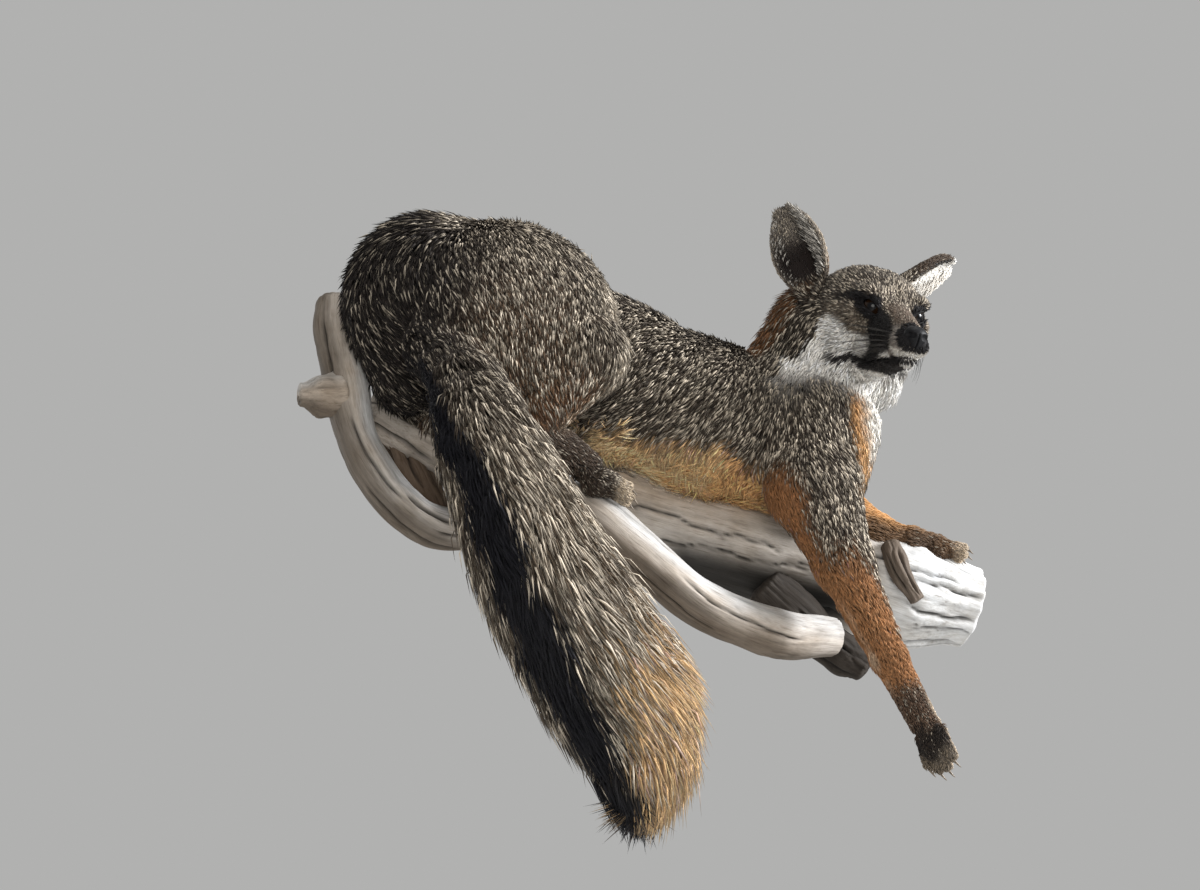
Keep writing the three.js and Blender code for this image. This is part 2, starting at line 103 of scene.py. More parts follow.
# Daylight from a window low on the right, as in the photo, and soft fill.
area_light("window", (1.85, -1.35, 0.55), 0.9, 122, (0.985, 0.99, 1.0))
area_light("ceiling", (0.3, -0.9, 2.0), 1.4, 16, (1.0, 0.98, 0.95))
area_light("room", (-0.7, -2.3, -0.1), 1.3, 26, (1.0, 0.97, 0.93))
area_light("behind", (-0.6, 1.7, 0.9), 2.0, 22, (1.0, 0.99, 0.97))
world = bpy.data.worlds.new("studio")
world.use_nodes = True
backdrop = world.node_tree.nodes["Background"].inputs
backdrop["Color"].default_value = (0.80, 0.80, 0.79, 1)
backdrop["Strength"].default_value = 0.55
scene.world = world


# ---- node materials

class Shader:
    """A Principled material with short names for the nodes that feed it."""

    def __init__(self, name, roughness, **constants):
        self.material = bpy.data.materials.new(name)
        self.material.use_nodes = True
        self.tree = self.material.node_tree
        self.surface = self.tree.nodes["Principled BSDF"]
        self.surface.inputs["Roughness"].default_value = roughness
        for socket, value in constants.items():
            self.surface.inputs[socket.replace("_", " ")].default_value = value

    def node(self, kind, **settings):
        made = self.tree.nodes.new(kind)
        for key, value in settings.items():
            setattr(made, key, value)
        return made

    def link(self, source, target):
        self.tree.links.new(source, target)

    def attribute(self, name, output="Color"):
        return self.node("ShaderNodeAttribute", attribute_name=name).outputs[output]

    def object_coordinates(self):
        mapping = self.node("ShaderNodeMapping")
        self.link(self.node("ShaderNodeTexCoord").outputs["Object"], mapping.inputs["Vector"])
        return mapping.outputs[0]

    def noise(self, vector, scale, detail=4.0, rough=0.55):
        made = self.node("ShaderNodeTexNoise")
        made.inputs["Scale"].default_value = scale
        made.inputs["Detail"].default_value = detail
        made.inputs["Roughness"].default_value = rough
        self.link(vector, made.inputs["Vector"])
        return made.outputs["Fac"]

    def ramp(self, value, *stops):
        made = self.node("ShaderNodeValToRGB")
        elements = made.color_ramp.elements
        while len(elements) < len(stops):
            elements.new(0.5)
        for element, (place, colour) in zip(elements, stops):
            element.position = place
            element.color = (*colour, 1)
        self.link(value, made.inputs["Fac"])
        return made.outputs["Color"]

    def product(self, first, *others):
        """Colours multiplied together."""
        for other in others:
            made = self.node("ShaderNodeMix", data_type="RGBA", blend_type="MULTIPLY")
            made.inputs["Factor"].default_value = 1.0
            self.link(first, made.inputs[6])
            self.link(other, made.inputs[7])
            first = made.outputs[2]
        return first

    def colour(self, value):
        self.link(value, self.surface.inputs["Base Color"])

    def roughness(self, value, low, high):
        span = self.node("ShaderNodeMapRange")
        span.inputs["To Min"].default_value = low
        span.inputs["To Max"].default_value = high
        self.link(value, span.inputs["Value"])
        self.link(span.outputs[0], self.surface.inputs["Roughness"])

    def bump(self, value, strength, distance):
        made = self.node("ShaderNodeBump")
        made.inputs["Strength"].default_value = strength
        made.inputs["Distance"].default_value = distance
        self.link(value, made.inputs["Height"])
        self.link(made.outputs[0], self.surface.inputs["Normal"])


# ---- muscle shapes, as distances

def measured(origin, axes, x, y, z):
    """Places as distances from `origin` along each of `axes`."""
    dx, dy, dz = x - origin[0], y - origin[1], z - origin[2]
    return [dx * a[0] + dy * a[1] + dz * a[2] for a in axes]


class Cone:
    """A cone with round ends, from radius ra at a to radius rb at b."""

    def __init__(self, a, ra, b, rb):
        self.a, self.b = np.array(a, float), np.array(b, float)
        self.ra, self.rb = ra, rb
        self.length = np.linalg.norm(self.b - self.a)
        self.axis = (self.b - self.a) / self.length
        self.slope = (ra - rb) / self.length
        self.side = math.sqrt(1 - self.slope ** 2)
        reach = np.array([ra, rb])[:, None]
        ends = np.array([self.a, self.b])
        self.low, self.high = (ends - reach).min(0), (ends + reach).max(0)

    def __call__(self, x, y, z):
        dx, dy, dz = x - self.a[0], y - self.a[1], z - self.a[2]
        along = dx * self.axis[0] + dy * self.axis[1] + dz * self.axis[2]
        square = dx * dx + dy * dy + dz * dz
        out = np.sqrt(np.maximum(square - along * along, 0))
        shift = along - out * (self.slope / self.side)
        result = out * self.side + along * self.slope - self.ra
        result = np.where(shift <= 0, np.sqrt(square) - self.ra, result)
        far = np.sqrt(np.maximum(square - 2 * along * self.length + self.length ** 2, 0))
        return np.where(shift >= self.length, far - self.rb, result)


class Egg:
    """An ellipsoid with half-sizes `size` along the rows of `axes`."""

    def __init__(self, centre, size, axes=np.eye(3)):
        self.centre, self.size, self.axes = np.array(centre, float), np.array(size, float), np.array(axes)
        reach = np.sqrt(((self.axes * self.size[:, None]) ** 2).sum(0))
        self.low, self.high = self.centre - reach, self.centre + reach

    def __call__(self, x, y, z):
        near = steep = 0
        for part, size in zip(measured(self.centre, self.axes, x, y, z), self.size):
            part = part / size
            near = near + part * part
            steep = steep + part * part / size ** 2
        near = np.sqrt(near)
        return near * (near - 1) / np.sqrt(np.maximum(steep, 1e-9))


def soft_min(a, b, softness):
    if softness <= 0:
        return np.minimum(a, b)
    mix = np.maximum(softness - np.abs(a - b), 0) / softness
    return np.minimum(a, b) - mix * mix * softness / 4


# ---- the head's own axes

FACE = np.array([140.8, -190.8, 91.8])
HEAD_X = unit([-0.135, -0.863, -0.49])
HEAD_Y = unit(np.cross([0.105, -0.504, 0.857], HEAD_X))
HEAD_Z = np.cross(HEAD_X, HEAD_Y)
HEAD = np.array([HEAD_X, HEAD_Y, HEAD_Z])


def on_head(forward, left, up):
    return FACE + forward * HEAD_X + left * HEAD_Y + up * HEAD_Z


def to_head(x, y, z):
    return measured(FACE, HEAD, x, y, z)


# ---- zones of the body

class Zone:
    """Masses that share a coat. `depth` is how far the skin lies inside the outline, `softness` how far
    it flows into its neighbours, and `flow` the lie of the hair: a direction, or a function from places
    to directions. Tufts have a `length` and `width` in mm, a `lift` in degrees, and a `density` per mm2."""

    def __init__(self, name, masses, depth, softness, flow, length, width, lift, density):
        self.name, self.masses, self.depth, self.softness = name, masses, depth, softness
        self.flow, self.length, self.width, self.lift, self.density = flow, length, width, lift, density

    def lie(self, places):
        if callable(self.flow):
            return self.flow(places)
        return np.broadcast_to(unit(self.flow), places.shape)


def towards(target):
    return lambda places: unit_rows(np.array(target, float) - places, TINY)


def catmull(stops, count):
    """Points and radii along a smooth line through `stops`, each [x, y, z, radius]."""
    stops = np.array(stops, float)
    padded = np.vstack([2 * stops[0] - stops[1], stops, 2 * stops[-1] - stops[-2]])
    t = np.linspace(0, len(stops) - 1, count)
    i = np.minimum(t.astype(int), len(stops) - 2)
    u = (t - i)[:, None]
    p0, p1, p2, p3 = (padded[i + k] for k in range(4))
    return 0.5 * (2 * p1 + (p2 - p0) * u + (2 * p0 - 5 * p1 + 4 * p2 - p3) * u ** 2
                  + (3 * p1 - p0 - 3 * p2 + p3) * u ** 3)


TAIL_RINGS = 41
TAIL = catmull([
    [-170, -122, 74, 18], [-156, -157, 31, 24], [-148, -178, -20, 31], [-133, -181, -64, 37],
    [-113, -177, -105, 43], [-87, -167, -143, 46], [-62, -161, -182, 45], [-55, -155, -220, 35],
    [-60, -150, -250, 13],
], TAIL_RINGS)
TAIL_NARROWS, TAIL_END = 28, 33  # the rings where the flesh starts to narrow, and ends
TAIL_T = np.linspace(0, 1, TAIL_RINGS)
TAIL_HAIR = np.interp(TAIL_T, (0, 0.06, 0.125, 0.25, 0.375, 0.5, 0.62, 0.8, 1),
                      (9, 12, 18, 26, 31, 36, 40, 40, 34))
tail_line = TAIL[:, :3]
tail_tangent = unit_rows(np.gradient(tail_line, axis=0))
tail_flesh = np.minimum(TAIL[:, 3] - 0.52 * TAIL_HAIR, 24)
tail_flesh[TAIL_NARROWS:] = np.interp(
    np.arange(TAIL_NARROWS, TAIL_RINGS), (TAIL_NARROWS, TAIL_END, TAIL_RINGS - 1),
    (tail_flesh[TAIL_NARROWS], 13, 5))


def nearest_on_tail(places):
    """For each place, the nearest ring of the tail and the way out from it."""
    gap = ((places[:, None, :] - tail_line[None, ::2]) ** 2).sum(2)
    ring = gap.argmin(1) * 2
    return ring, places - tail_line[ring]


def tail_flow(places):
    return tail_tangent[nearest_on_tail(places)[0]]


def rump_flow(places):
    """Back along the top, down the rump, turning on to the tail."""
    top = ramp(105, 150, places[:, 2])[:, None]
    near = ramp(100, 30, np.linalg.norm(places - tail_line[3], axis=1))[:, None]
    down = unit([-0.35, -0.25, -0.9]) * (1 - top) + unit([-0.97, -0.12, -0.2]) * top
    return down * (1 - near) + unit([0.32, -0.42, -0.85]) * near


nose_tip = on_head(56, 0, -12)


def face_flow(places):
    """Back from the nose, sweeping down over the cheeks."""
    f, l, u = to_head(*places.T)
    cheek = (ramp(-5, -35, f) * ramp(5, -20, u))[:, None]
    sweep = -0.55 * HEAD_X + 0.45 * np.sign(l)[:, None] * HEAD_Y - 0.7 * HEAD_Z
    return unit_rows(places - nose_tip, TINY) * (1 - cheek) + sweep * cheek


def skull(*args):
    return Egg(on_head(*args[:3]), args[3:], HEAD)


def chain(*stops):
    """Cones from each (x, y, z, radius) to the next."""
    return [Cone(a[:3], a[3], b[:3], b[3]) for a, b in zip(stops, stops[1:])]


def muzzle(*stops):
    """A chain whose stops are (forward, left, up, radius) on the head."""
    return chain(*((*on_head(*stop[:3]), stop[3]) for stop in stops))


EAR_LENGTH = 60.0
EAR_HALF_WIDTH = 21.5
EAR_CUP = 13.0
EAR_THICKNESS = 3.2
EAR_FOLD = ((0, 0.5, 0.85), (0.3, -0.1, -0.8))   # the far ear's fold, along and across it


def ear_half_width(t):
    return EAR_HALF_WIDTH * np.sin(np.pi * np.clip(0.2 + 0.795 * t, 0.02, 0.995)) ** 0.72


class Ear:
    """A cupped leaf. `axis` runs from base to tip and `open` is the way the cup faces."""

    def __init__(self, base, axis, opening):
        self.base, self.up = np.array(base, float), unit(axis)
        opening = np.array(opening, float)
        self.front = unit(opening - self.up * (opening @ self.up))
        self.side = np.cross(self.up, self.front)
        tip = self.base + EAR_LENGTH * self.up
        self.low = np.minimum(self.base, tip) - 30
        self.high = np.maximum(self.base, tip) + 30

    def local(self, x, y, z):
        along, across, out = measured(self.base, (self.up, self.side, self.front), x, y, z)
        t = along / EAR_LENGTH
        half = ear_half_width(t)
        v = across / half
        cup = EAR_CUP * (1 - 0.8 * np.clip(t, -0.3, 1.1))
        return t, v, out + cup * (1 - np.minimum(v * v, 1.5)), half

    def __call__(self, x, y, z):
        t, v, out, half = self.local(x, y, z)
        middle = out + EAR_THICKNESS / 2
        steep = np.sqrt(1 + (2 * EAR_CUP * v / half) ** 2)
        shell = np.abs(middle) / steep - 1.9
        sides = (np.abs(v) - 0.93) * half
        ends = np.maximum((t - 0.95) * EAR_LENGTH, (-0.22 - t) * EAR_LENGTH)
        rim = -soft_min(-np.maximum(sides, ends), -shell, 2.5)
        return np.maximum(rim, np.maximum(sides, ends))


EARS = {
    "right": Ear((97, -160, 128), (-14, -3, 55), (-0.74, -0.58, -0.34)),
    "left": Ear((177, -162, 125), (49, 8, 37), (0.35, -0.35, -0.87)),
}


EYE_RADIUS = 7.6
EYES = {side: on_head(1.6, sign * 14.5, 0) for side, sign in (("right", -1), ("left", 1))}

down_back = (-0.72, -0.05, -0.62)
# For each: name, masses, depth, softness, flow, length, width, lift and density.
zones = [
    Zone("rump",
         chain((-155, -104, 109, 63), (-92, -99, 105, 65)) + chain((-156, -98, 94, 53), (-168, -94, 62, 33)),
         10, 12, rump_flow, 18, 1.4, 18, 0.75),
    Zone("loin", chain((-82, -94, 96, 58), (-22, -85, 73, 57), (40, -86, 51, 56)),
         8, 12, down_back, 15, 1.15, 17, 0.85),
    Zone("shoulder", chain((40, -86, 51, 56), (92, -90, 42, 56), (119, -95, 39, 46))
         + [Egg((100, -118, 40), (42, 34, 48))], 7, 14, (-0.45, -0.02, -0.85), 13, 1.1, 17, 0.85),
    Zone("chest", [Egg((133, -96, 16), (25, 34, 38))], 8, 16, (-0.1, -0.1, -1), 18, 1.4, 22, 0.8),
    Zone("neck",
         chain((110, -98, 60, 52), (126, -128, 104, 43)) + chain((133, -138, 72, 32), (116, -112, 34, 36)),
         8, 12, (-0.35, 0.25, -0.85), 18, 1.35, 20, 0.85),
    Zone("haunch_right",
         [Egg((-112, -132, 84), (76, 50, 74)), *chain((-70, -146, 60, 34), (-98, -142, 22, 24))],
         7, 4.5, towards([-84, -150, -110]), 14, 1.15, 17, 0.95),
    Zone("haunch_left", [Egg((-112, -66, 82), (70, 34, 66))], 8, 9, (-0.3, 0, -0.95), 15, 1.4, 18, 0.7),
    Zone("upper_arm", chain((112, -128, 32, 40), (94, -138, -16, 33)),
         6, 14, (0.02, 0, -1), 13, 1.25, 17, 0.95),
    Zone("forearm_right", chain((94, -138, -16, 32), (104, -146, -72, 20), (126, -150, -138, 12.5)),
         3.4, 8, (0.25, -0.05, -0.97), 10, 1.1, 14, 0.75),
    Zone("paw_right", chain((126, -150, -138, 12), (143, -152, -180, 10.5))
         + [Egg((148, -153, -193), (9.5, 12, 14.5))], 1.8, 5, (0.35, -0.03, -0.93), 4.6, 0.85, 11, 1.25),
    Zone("forearm_left", chain((138, -66, 6, 24), (172, -72, -20, 16), (198, -80, -29, 12.5)),
         3.4, 8, (0.93, -0.1, -0.35), 10, 1.1, 14, 0.8),
    Zone("paw_left",
         chain((198, -80, -29, 12.5), (214, -84, -33, 11.5)) + [Egg((218, -85, -35), (14, 12, 9))],
         1.8, 5, (0.95, -0.1, -0.3), 4.8, 0.85, 11, 1.2),
    Zone("foot_right",
         chain((-96, -134, 6, 15), (-66, -130, -12, 12)) + [Egg((-54, -127, -23), (15, 13.5, 10))],
         2.2, 5, (0.86, 0.05, -0.5), 5.5, 0.9, 12, 1.2),
    Zone("foot_left", chain((-78, -30, 52, 13), (-36, -26, 44, 11)) + [Egg((-24, -26, 42), (15, 12, 9))],
         2.4, 5, (0.97, 0.05, -0.15), 7, 0.95, 13, 1.0),
    Zone("crown", [skull(-35, -5, 1.5, 42, 38, 31)], 4.0, 9, face_flow, 8, 0.95, 17, 1.65),
    Zone("cheek", [skull(-34, side, -18, 28, 18, 26) for side in (20, -20)],
         5.5, 9, face_flow, 11, 0.9, 18, 2.0),
    Zone("throat", [skull(-36, 5, -41, 30, 29, 25)], 7, 9, (-0.3, 0.05, -0.95), 16, 1.0, 24, 1.4),
    Zone("face", [skull(-16, 0, 2, 24.5, 25, 24), *muzzle((2, 0, -10, 18), (48, 0, -17, 9.5))],
         1.6, 8, face_flow, 4.4, 0.78, 13, 2.35),
    Zone("jaw", muzzle((-6, 0, -28, 17), (46, 0, -29, 6.5)), 1.8, 6, face_flow, 5.5, 0.75, 14, 2.4),
    Zone("tail", [mass for i in range(0, TAIL_END, 2)
                  for mass in chain(*((*tail_line[k], tail_flesh[k]) for k in (i, i + 2)))],
         0, 12, tail_flow, 0, 1.3, 25, 1.0),
] + [Zone("ear_" + side, [ear], 0.35, 5, ear.up, 4.6, 0.8, 12, 1.3) for side, ear in EARS.items()]


def toes(knuckle, tip, across, spread, radius):
    """Four toes side by side along `across`, the middle two longer, as (knuckle, tip, radius)."""
    knuckle, tip, across = np.array(knuckle, float), np.array(tip, float), unit(across)
    made = []
    for k in (-1.5, -0.5, 0.5, 1.5):
        short = 0.80 if abs(k) > 1 else 1.0
        end = knuckle + (tip - knuckle) * short + across * k * spread * 1.12
        made.append((knuckle + across * k * spread * 0.85, end, radius))
    return made


TOES = {
    "paw_right": toes((146, -154, -189), (152, -153, -209), (0.25, -0.97, 0.05), 6.0, 3.7),
    "paw_left": toes((216, -85, -34), (233, -87, -39), (0.05, -0.99, 0.1), 6.0, 3.7),
    "foot_right": toes((-56, -127, -22), (-37, -125, -31), (0.0, -1, 0.1), 6.4, 3.9),
    "foot_left": toes((-28, -26, 42), (-9, -26, 38), (0, -1, 0), 6.0, 3.6),
}
for name, digits in TOES.items():
    way = digits[1][1] - digits[1][0]
    zones.append(Zone("toes_" + name, [Cone(p, r + 1.2, q, r + 0.9) for p, q, r in digits],
                      1.2, 1.6, way, 3.6, 0.75, 11, 1.3))
zone_number = {zone.name: i for i, zone in enumerate(zones)}


# ---- face details

def lid_frame(side):
    """The way the eye looks and the slant of its slit."""
    sign = 1 if side == "left" else -1
    look = unit(0.84 * HEAD_X + sign * 0.50 * HEAD_Y + 0.12 * HEAD_Z)
    inner = unit(0.82 * HEAD_X - sign * 0.40 * HEAD_Y - 0.41 * HEAD_Z)
    inner = unit(inner - look * (inner @ look))
    return look, inner, np.cross(look, inner)


LIDS = {side: lid_frame(side) for side in EYES}
SLIT_LENGTH = 7.2
SLIT_HEIGHT = 2.9
LID = 1.15
# The lips' line, and how deep the mouth is cut.
MOUTH_FORWARD = (-22, -15, -6, 3, 11, 23, 39, 48, 60)
MOUTH_UP = (-32.0, -31.5, -32.7, -34.0, -34.8, -32.7, -30, -28.3, -27.3)
MOUTH_DEPTH = 2.2


def lid_slit(places, name, margin=0.0):
    """How far places are from the middle of an eye's slit, 1 at its edge, and which are ahead of the eye."""
    look, inner, across = LIDS[name]
    gap = places - EYES[name]
    slit = np.hypot((gap @ inner) / (SLIT_LENGTH + margin), (gap @ across) / (SLIT_HEIGHT + margin))
    return slit, gap @ look > 0


def mouth_line(f):
    return np.interp(f, MOUTH_FORWARD, MOUTH_UP)


def carve(x, y, z, body):
    """The head's own detail, worked into the distance `body`."""
    f, l, u = to_head(x, y, z)
    side = np.abs(l)
    # Flews beside the nose, brow ridges, and the stop between the eyes.
    for centre, size, amount in (
        ((40, 6.5, -21), (13, 5.5, 6), 5), ((-4, 17, 9.5), (12, 8, 5), 5), ((-14, 24, -6), (14, 6, 8), 5),
    ):
        bulge = np.sqrt(((f - centre[0]) / size[0]) ** 2 + ((side - centre[1]) / size[1]) ** 2
                        + ((u - centre[2]) / size[2]) ** 2)
        body = soft_min(body, (bulge - 1) * min(size), amount)
    hollow = np.sqrt(((f - 10) / 10) ** 2 + (side / 5.0) ** 2 + ((u - 14) / 7.0) ** 2)
    body = -soft_min(-body, (hollow - 1) * 5.0 + 1.5, 5)
    # The mouth runs back under the flews, and a cleft joins it to the nose.
    fade = ramp(-12, 0, f) * MOUTH_DEPTH
    mouth = np.abs(u - mouth_line(f)) - 0.55 - 0.12 * fade
    mouth = np.maximum(np.maximum(mouth, -(body + fade)), -12 - f)
    cleft = np.maximum(np.maximum(side - 0.55, -(body + 1.6)), np.maximum(mouth_line(f) - u, 30 - f))
    body = -soft_min(-body, np.minimum(mouth, cleft), 0.8)
    # Lids over each eyeball, with a slanted slit.
    for name, centre in EYES.items():
        from_eye = np.sqrt(sum(part ** 2 for part in measured(centre, np.eye(3), x, y, z)))
        body = soft_min(body, from_eye - EYE_RADIUS - LID, 2.5)
        a, b, c = measured(centre, LIDS[name], x, y, z)
        width = SLIT_LENGTH * np.where(b > 0, 1.12, 1.0)
        slit = np.sqrt((b / width) ** 2 + (c / SLIT_HEIGHT) ** 2)
        hole = np.maximum((slit - 1) * SLIT_HEIGHT, EYE_RADIUS - 1.6 - from_eye)
        hole = np.maximum(hole, -a)
        body = np.maximum(body, -hole)
    return body


# ---- the skin's surface

FAR_OFF = 60.0                   # the distance given to places near no mass
MARGIN = 26                      # how far around a mass its distance is worked out
HEAD_REACH = 75                  # how far the face's details can lie from FACE

def within(low, high, x, y, z):
    """The block of the field between `low` and `high`, and the x, y and z inside it."""
    if x.ndim > 1:
        spans = [slice(*np.searchsorted(v.ravel(), [low[i], high[i]])) for i, v in enumerate((x, y, z))]
        return tuple(spans), (x[spans[0]], y[:, spans[1]], z[:, :, spans[2]])
    block = (x > low[0]) & (x < high[0]) & (y > low[1]) & (y < high[1]) & (z > low[2]) & (z < high[2])
    return block, (x[block], y[block], z[block])


def inset_field(x, y, z):
    """The skin as a distance. `x`, `y` and `z` are the axes of a grid, or places of one size."""
    total = np.full(np.broadcast(x, y, z).shape, FAR_OFF, np.float32)
    for zone in zones:
        for mass in zone.masses:
            block, spot = within(mass.low - MARGIN, mass.high + MARGIN, x, y, z)
            total[block] = soft_min(total[block], mass(*spot) + zone.depth, zone.softness)
    block, spot = within(FACE - HEAD_REACH, FACE + HEAD_REACH, x, y, z)
    total[block] = carve(*spot, total[block])
    return total


def surface_net(value, x, y, z):
    """Quads over the surface where `value` is zero, on a grid with axes x, y and z."""
    inside = value < 0
    nx, ny, nz = value.shape
    cell = np.zeros((nx - 1, ny - 1, nz - 1), np.uint8)
    corners = list(product((0, 1), repeat=3))
    for i, j, k in corners:
        cell += inside[i:nx - 1 + i, j:ny - 1 + j, k:nz - 1 + k]
    mixed = (cell > 0) & (cell < 8)
    where = np.argwhere(mixed)
    number = np.full(cell.shape, -1, np.int32)
    number[mixed] = np.arange(len(where))
    total = np.zeros((len(where), 3))
    count = np.zeros(len(where))
    axes = (x, y, z)
    for a in corners:
        for axis in range(3):
            if a[axis]:
                continue
            b = tuple(a[n] + (n == axis) for n in range(3))
            ia, ib = where + a, where + b
            va, vb = value[tuple(ia.T)], value[tuple(ib.T)]
            cross = (va < 0) != (vb < 0)
            t = np.where(cross, va / np.where(cross, va - vb, 1), 0)
            place = np.stack([axes[n][ia[:, n]] * (1 - t) + axes[n][ib[:, n]] * t for n in range(3)], 1)
            total += place * cross[:, None]
            count += cross
    points = total / count[:, None]
    quads = []
    for axis in range(3):
        one, two = (axis + 1) % 3, (axis + 2) % 3
        first, second = (inside[tuple(slice(k, n - 1 + k) if i == axis else slice(1, n - 1)
                                      for i, n in enumerate(value.shape))] for k in (0, 1))
        change = np.argwhere(first != second)
        change[:, one] += 1
        change[:, two] += 1
        ring = []
        for da, db in ((-1, -1), (0, -1), (0, 0), (-1, 0)):
            at = change.copy()
            at[:, one] += da
            at[:, two] += db
            ring.append(number[tuple(at.T)])
        ring = np.stack(ring, 1)
        flip = ~inside[tuple(change.T)]
        ring[flip] = ring[flip][:, ::-1]
        quads.append(ring)
    return points, np.concatenate(quads)


def axis_steps(low, high, fine_low, fine_high, coarse, fine):
    """Places along an axis, close together between fine_low and fine_high."""
    places = [low]
    while places[-1] < high:
        places.append(places[-1] + (fine if fine_low < places[-1] < fine_high else coarse))
    return np.array(places, np.float32)


COARSE = 4.0
FINE = 1.35
SKIN_BOX = ((-246, 268, 68, 236), (-256, 6, -254, -124), (-276, 196, 22, 190))


def build_skin():
    """The whole fox's skin as one mesh, finest on the head and the feet."""
    gx, gy, gz = (axis_steps(*span, COARSE, FINE) for span in SKIN_BOX)
    value = inset_field(gx[:, None, None], gy[None, :, None], gz[None, None, :])
    places, quads = surface_net(value, gx.astype(float), gy.astype(float), gz.astype(float))
    mesh = bpy.data.meshes.new("skin")
    mesh.from_pydata(places.tolist(), [], quads.tolist())
    work = bmesh.new()
    work.from_mesh(mesh)
    for level in range(SUBDIVISIONS):
        marked = [e for e in work.edges if wants_detail(e, level)]
        bmesh.ops.subdivide_edges(work, edges=marked, cuts=1, use_grid_fill=True)
    bmesh.ops.triangulate(work, faces=[f for f in work.faces if len(f.verts) > 4])
    work.to_mesh(mesh)
    work.free()
    places = read(mesh, "vertices", "co", 3)
    for _ in range(4):
        places = settle(places)
    mesh.vertices.foreach_set("co", (places * MM).astype(np.float32).ravel())
    mesh.update()
    return mesh


def colour_points(mesh, name, colours):
    """A colour at each vertex, for a material to read by `name`."""
    rgba = np.ones((len(colours), 4), np.float32)
    rgba[:, :3] = colours
    mesh.color_attributes.new(name, "FLOAT_COLOR", "POINT").data.foreach_set("color", rgba.ravel())


def place_piece(name, mesh, material, slot, *nodes):
    """A finished mesh as a piece of the one body, in the place of the CAD's `nodes`."""
    mesh.materials.append(material)
    piece = bpy.data.objects.new(name, mesh)
    scene.collection.objects.link(piece)
    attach(piece, "root")
    if nodes:
        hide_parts(*nodes)
    return piece


def read(mesh, group, key, width):
    items = getattr(mesh, group)
    flat = np.empty(len(items) * width, np.float32)
    items.foreach_get(key, flat)
    return flat.reshape(-1, width).astype(float)


SUBDIVISIONS = 2
# Each spot's middle, how far it reaches, and how many times it is subdivided.
FINE_SPOTS = [(on_head(30, 0, -14), 34, 1), (on_head(4, 16, 0), 13, 2), (on_head(4, -16, 0), 13, 2)] + [
    (sum(a + b for a, b, _ in digits) / 8, 24, 2) for digits in TOES.values()]


def wants_detail(edge, level):
    middle = (edge.verts[0].co + edge.verts[1].co) / 2
    return any(times > level and (middle - Vector(spot)).length < reach for spot, reach, times in FINE_SPOTS)


def slope_at(places, step=0.35):
    slope = np.empty_like(places)
    for axis in range(3):
        ahead, behind = places.copy(), places.copy()
        ahead[:, axis] += step
        behind[:, axis] -= step
        slope[:, axis] = (inset_field(*ahead.T) - inset_field(*behind.T)) / (2 * step)
    return slope


def settle(places):
    """The places moved on to the skin's true surface."""
    here = inset_field(*places.T)
    slope = slope_at(places)
    steep = np.maximum((slope ** 2).sum(1), 0.2)
    move = -slope * (here / steep)[:, None]
    far = np.linalg.norm(move, axis=1, keepdims=True)
    return places + move * np.minimum(1, 1.5 / np.maximum(far, TINY))


# ---- noise, weights and markings

LATTICE_PRIMES = (73856093, 19349663, 83492791)


def lattice_noise(places, size, seed):
    """Smooth noise from 0 to 1, in blobs about `size` across."""
    at = places / size + 100
    whole = np.floor(at).astype(np.int64)
    part = at - whole
    part = part * part * (3 - 2 * part)
    total = np.zeros(len(places))
    for corner in product((0, 1), repeat=3):
        hx, hy, hz = ((whole + corner) * LATTICE_PRIMES).T
        key = (hx ^ hy ^ hz ^ seed * 2654435761) & 0xFFFFFFFF
        key = (key ^ key >> 15) * 2246822519 & 0xFFFFFFFF
        key = (key ^ key >> 13) * 3266489917 & 0xFFFFFFFF
        value = ((key ^ key >> 16) & 0xFFFFFF) / 0xFFFFFF
        total += value * np.where(corner, part, 1 - part).prod(1)
    return total


def zone_weights(places):
    """How much each zone owns each place, as rows that add up to one."""
    weights = np.empty((len(places), len(zones)), np.float32)
    for column, zone in enumerate(zones):
        distance = np.full(len(places), 90.0)
        for mass in zone.masses:
            distance = np.minimum(distance, mass(*places.T))
        weights[:, column] = np.exp(-np.clip(distance + zone.depth, -2, 60) / 3.5)
    return weights / weights.sum(1, keepdims=True)


def owned(weights, *names):
    return weights[:, [zone_number[n] for n in names]].sum(1)


class Paint:
    """Three tones along each hair, root to tip, and how many hairs carry a pale band."""

    def __init__(self, count):
        self.root = np.empty((count, 3))
        self.band = np.empty((count, 3))
        self.tip = np.empty((count, 3))
        self.pale = np.zeros(count)

    def lay(self, mask, root, band, tip, pale=0.0):
        mask = np.asarray(mask)[:, None]
        for name, tone in (("root", root), ("band", band), ("tip", tip)):
            setattr(self, name, getattr(self, name) * (1 - mask) + np.array(tone) * mask)
        self.pale = self.pale * (1 - mask[:, 0]) + pale * mask[:, 0]


BLACK = (0.010, 0.009, 0.010)
SOOT = (0.016, 0.013, 0.011)
UMBER = (0.055, 0.035, 0.022)
GRIZZLE = (0.028, 0.022, 0.017)
RUFOUS = (0.34, 0.135, 0.040)
TAWNY = (0.58, 0.325, 0.125)
CREAM = (0.66, 0.54, 0.40)
WHITE = (0.80, 0.77, 0.71)
ASH = (0.30, 0.27, 0.235)


def line_distance(points, a, b):
    a, b = np.array(a, float), np.array(b, float)
    t = np.clip(((points - a) @ (b - a)) / ((b - a) @ (b - a)), 0, 1)
    return np.linalg.norm(points - a - t[:, None] * (b - a), axis=1)


TAIL_BACK = unit([-0.34, -0.85, -0.41])


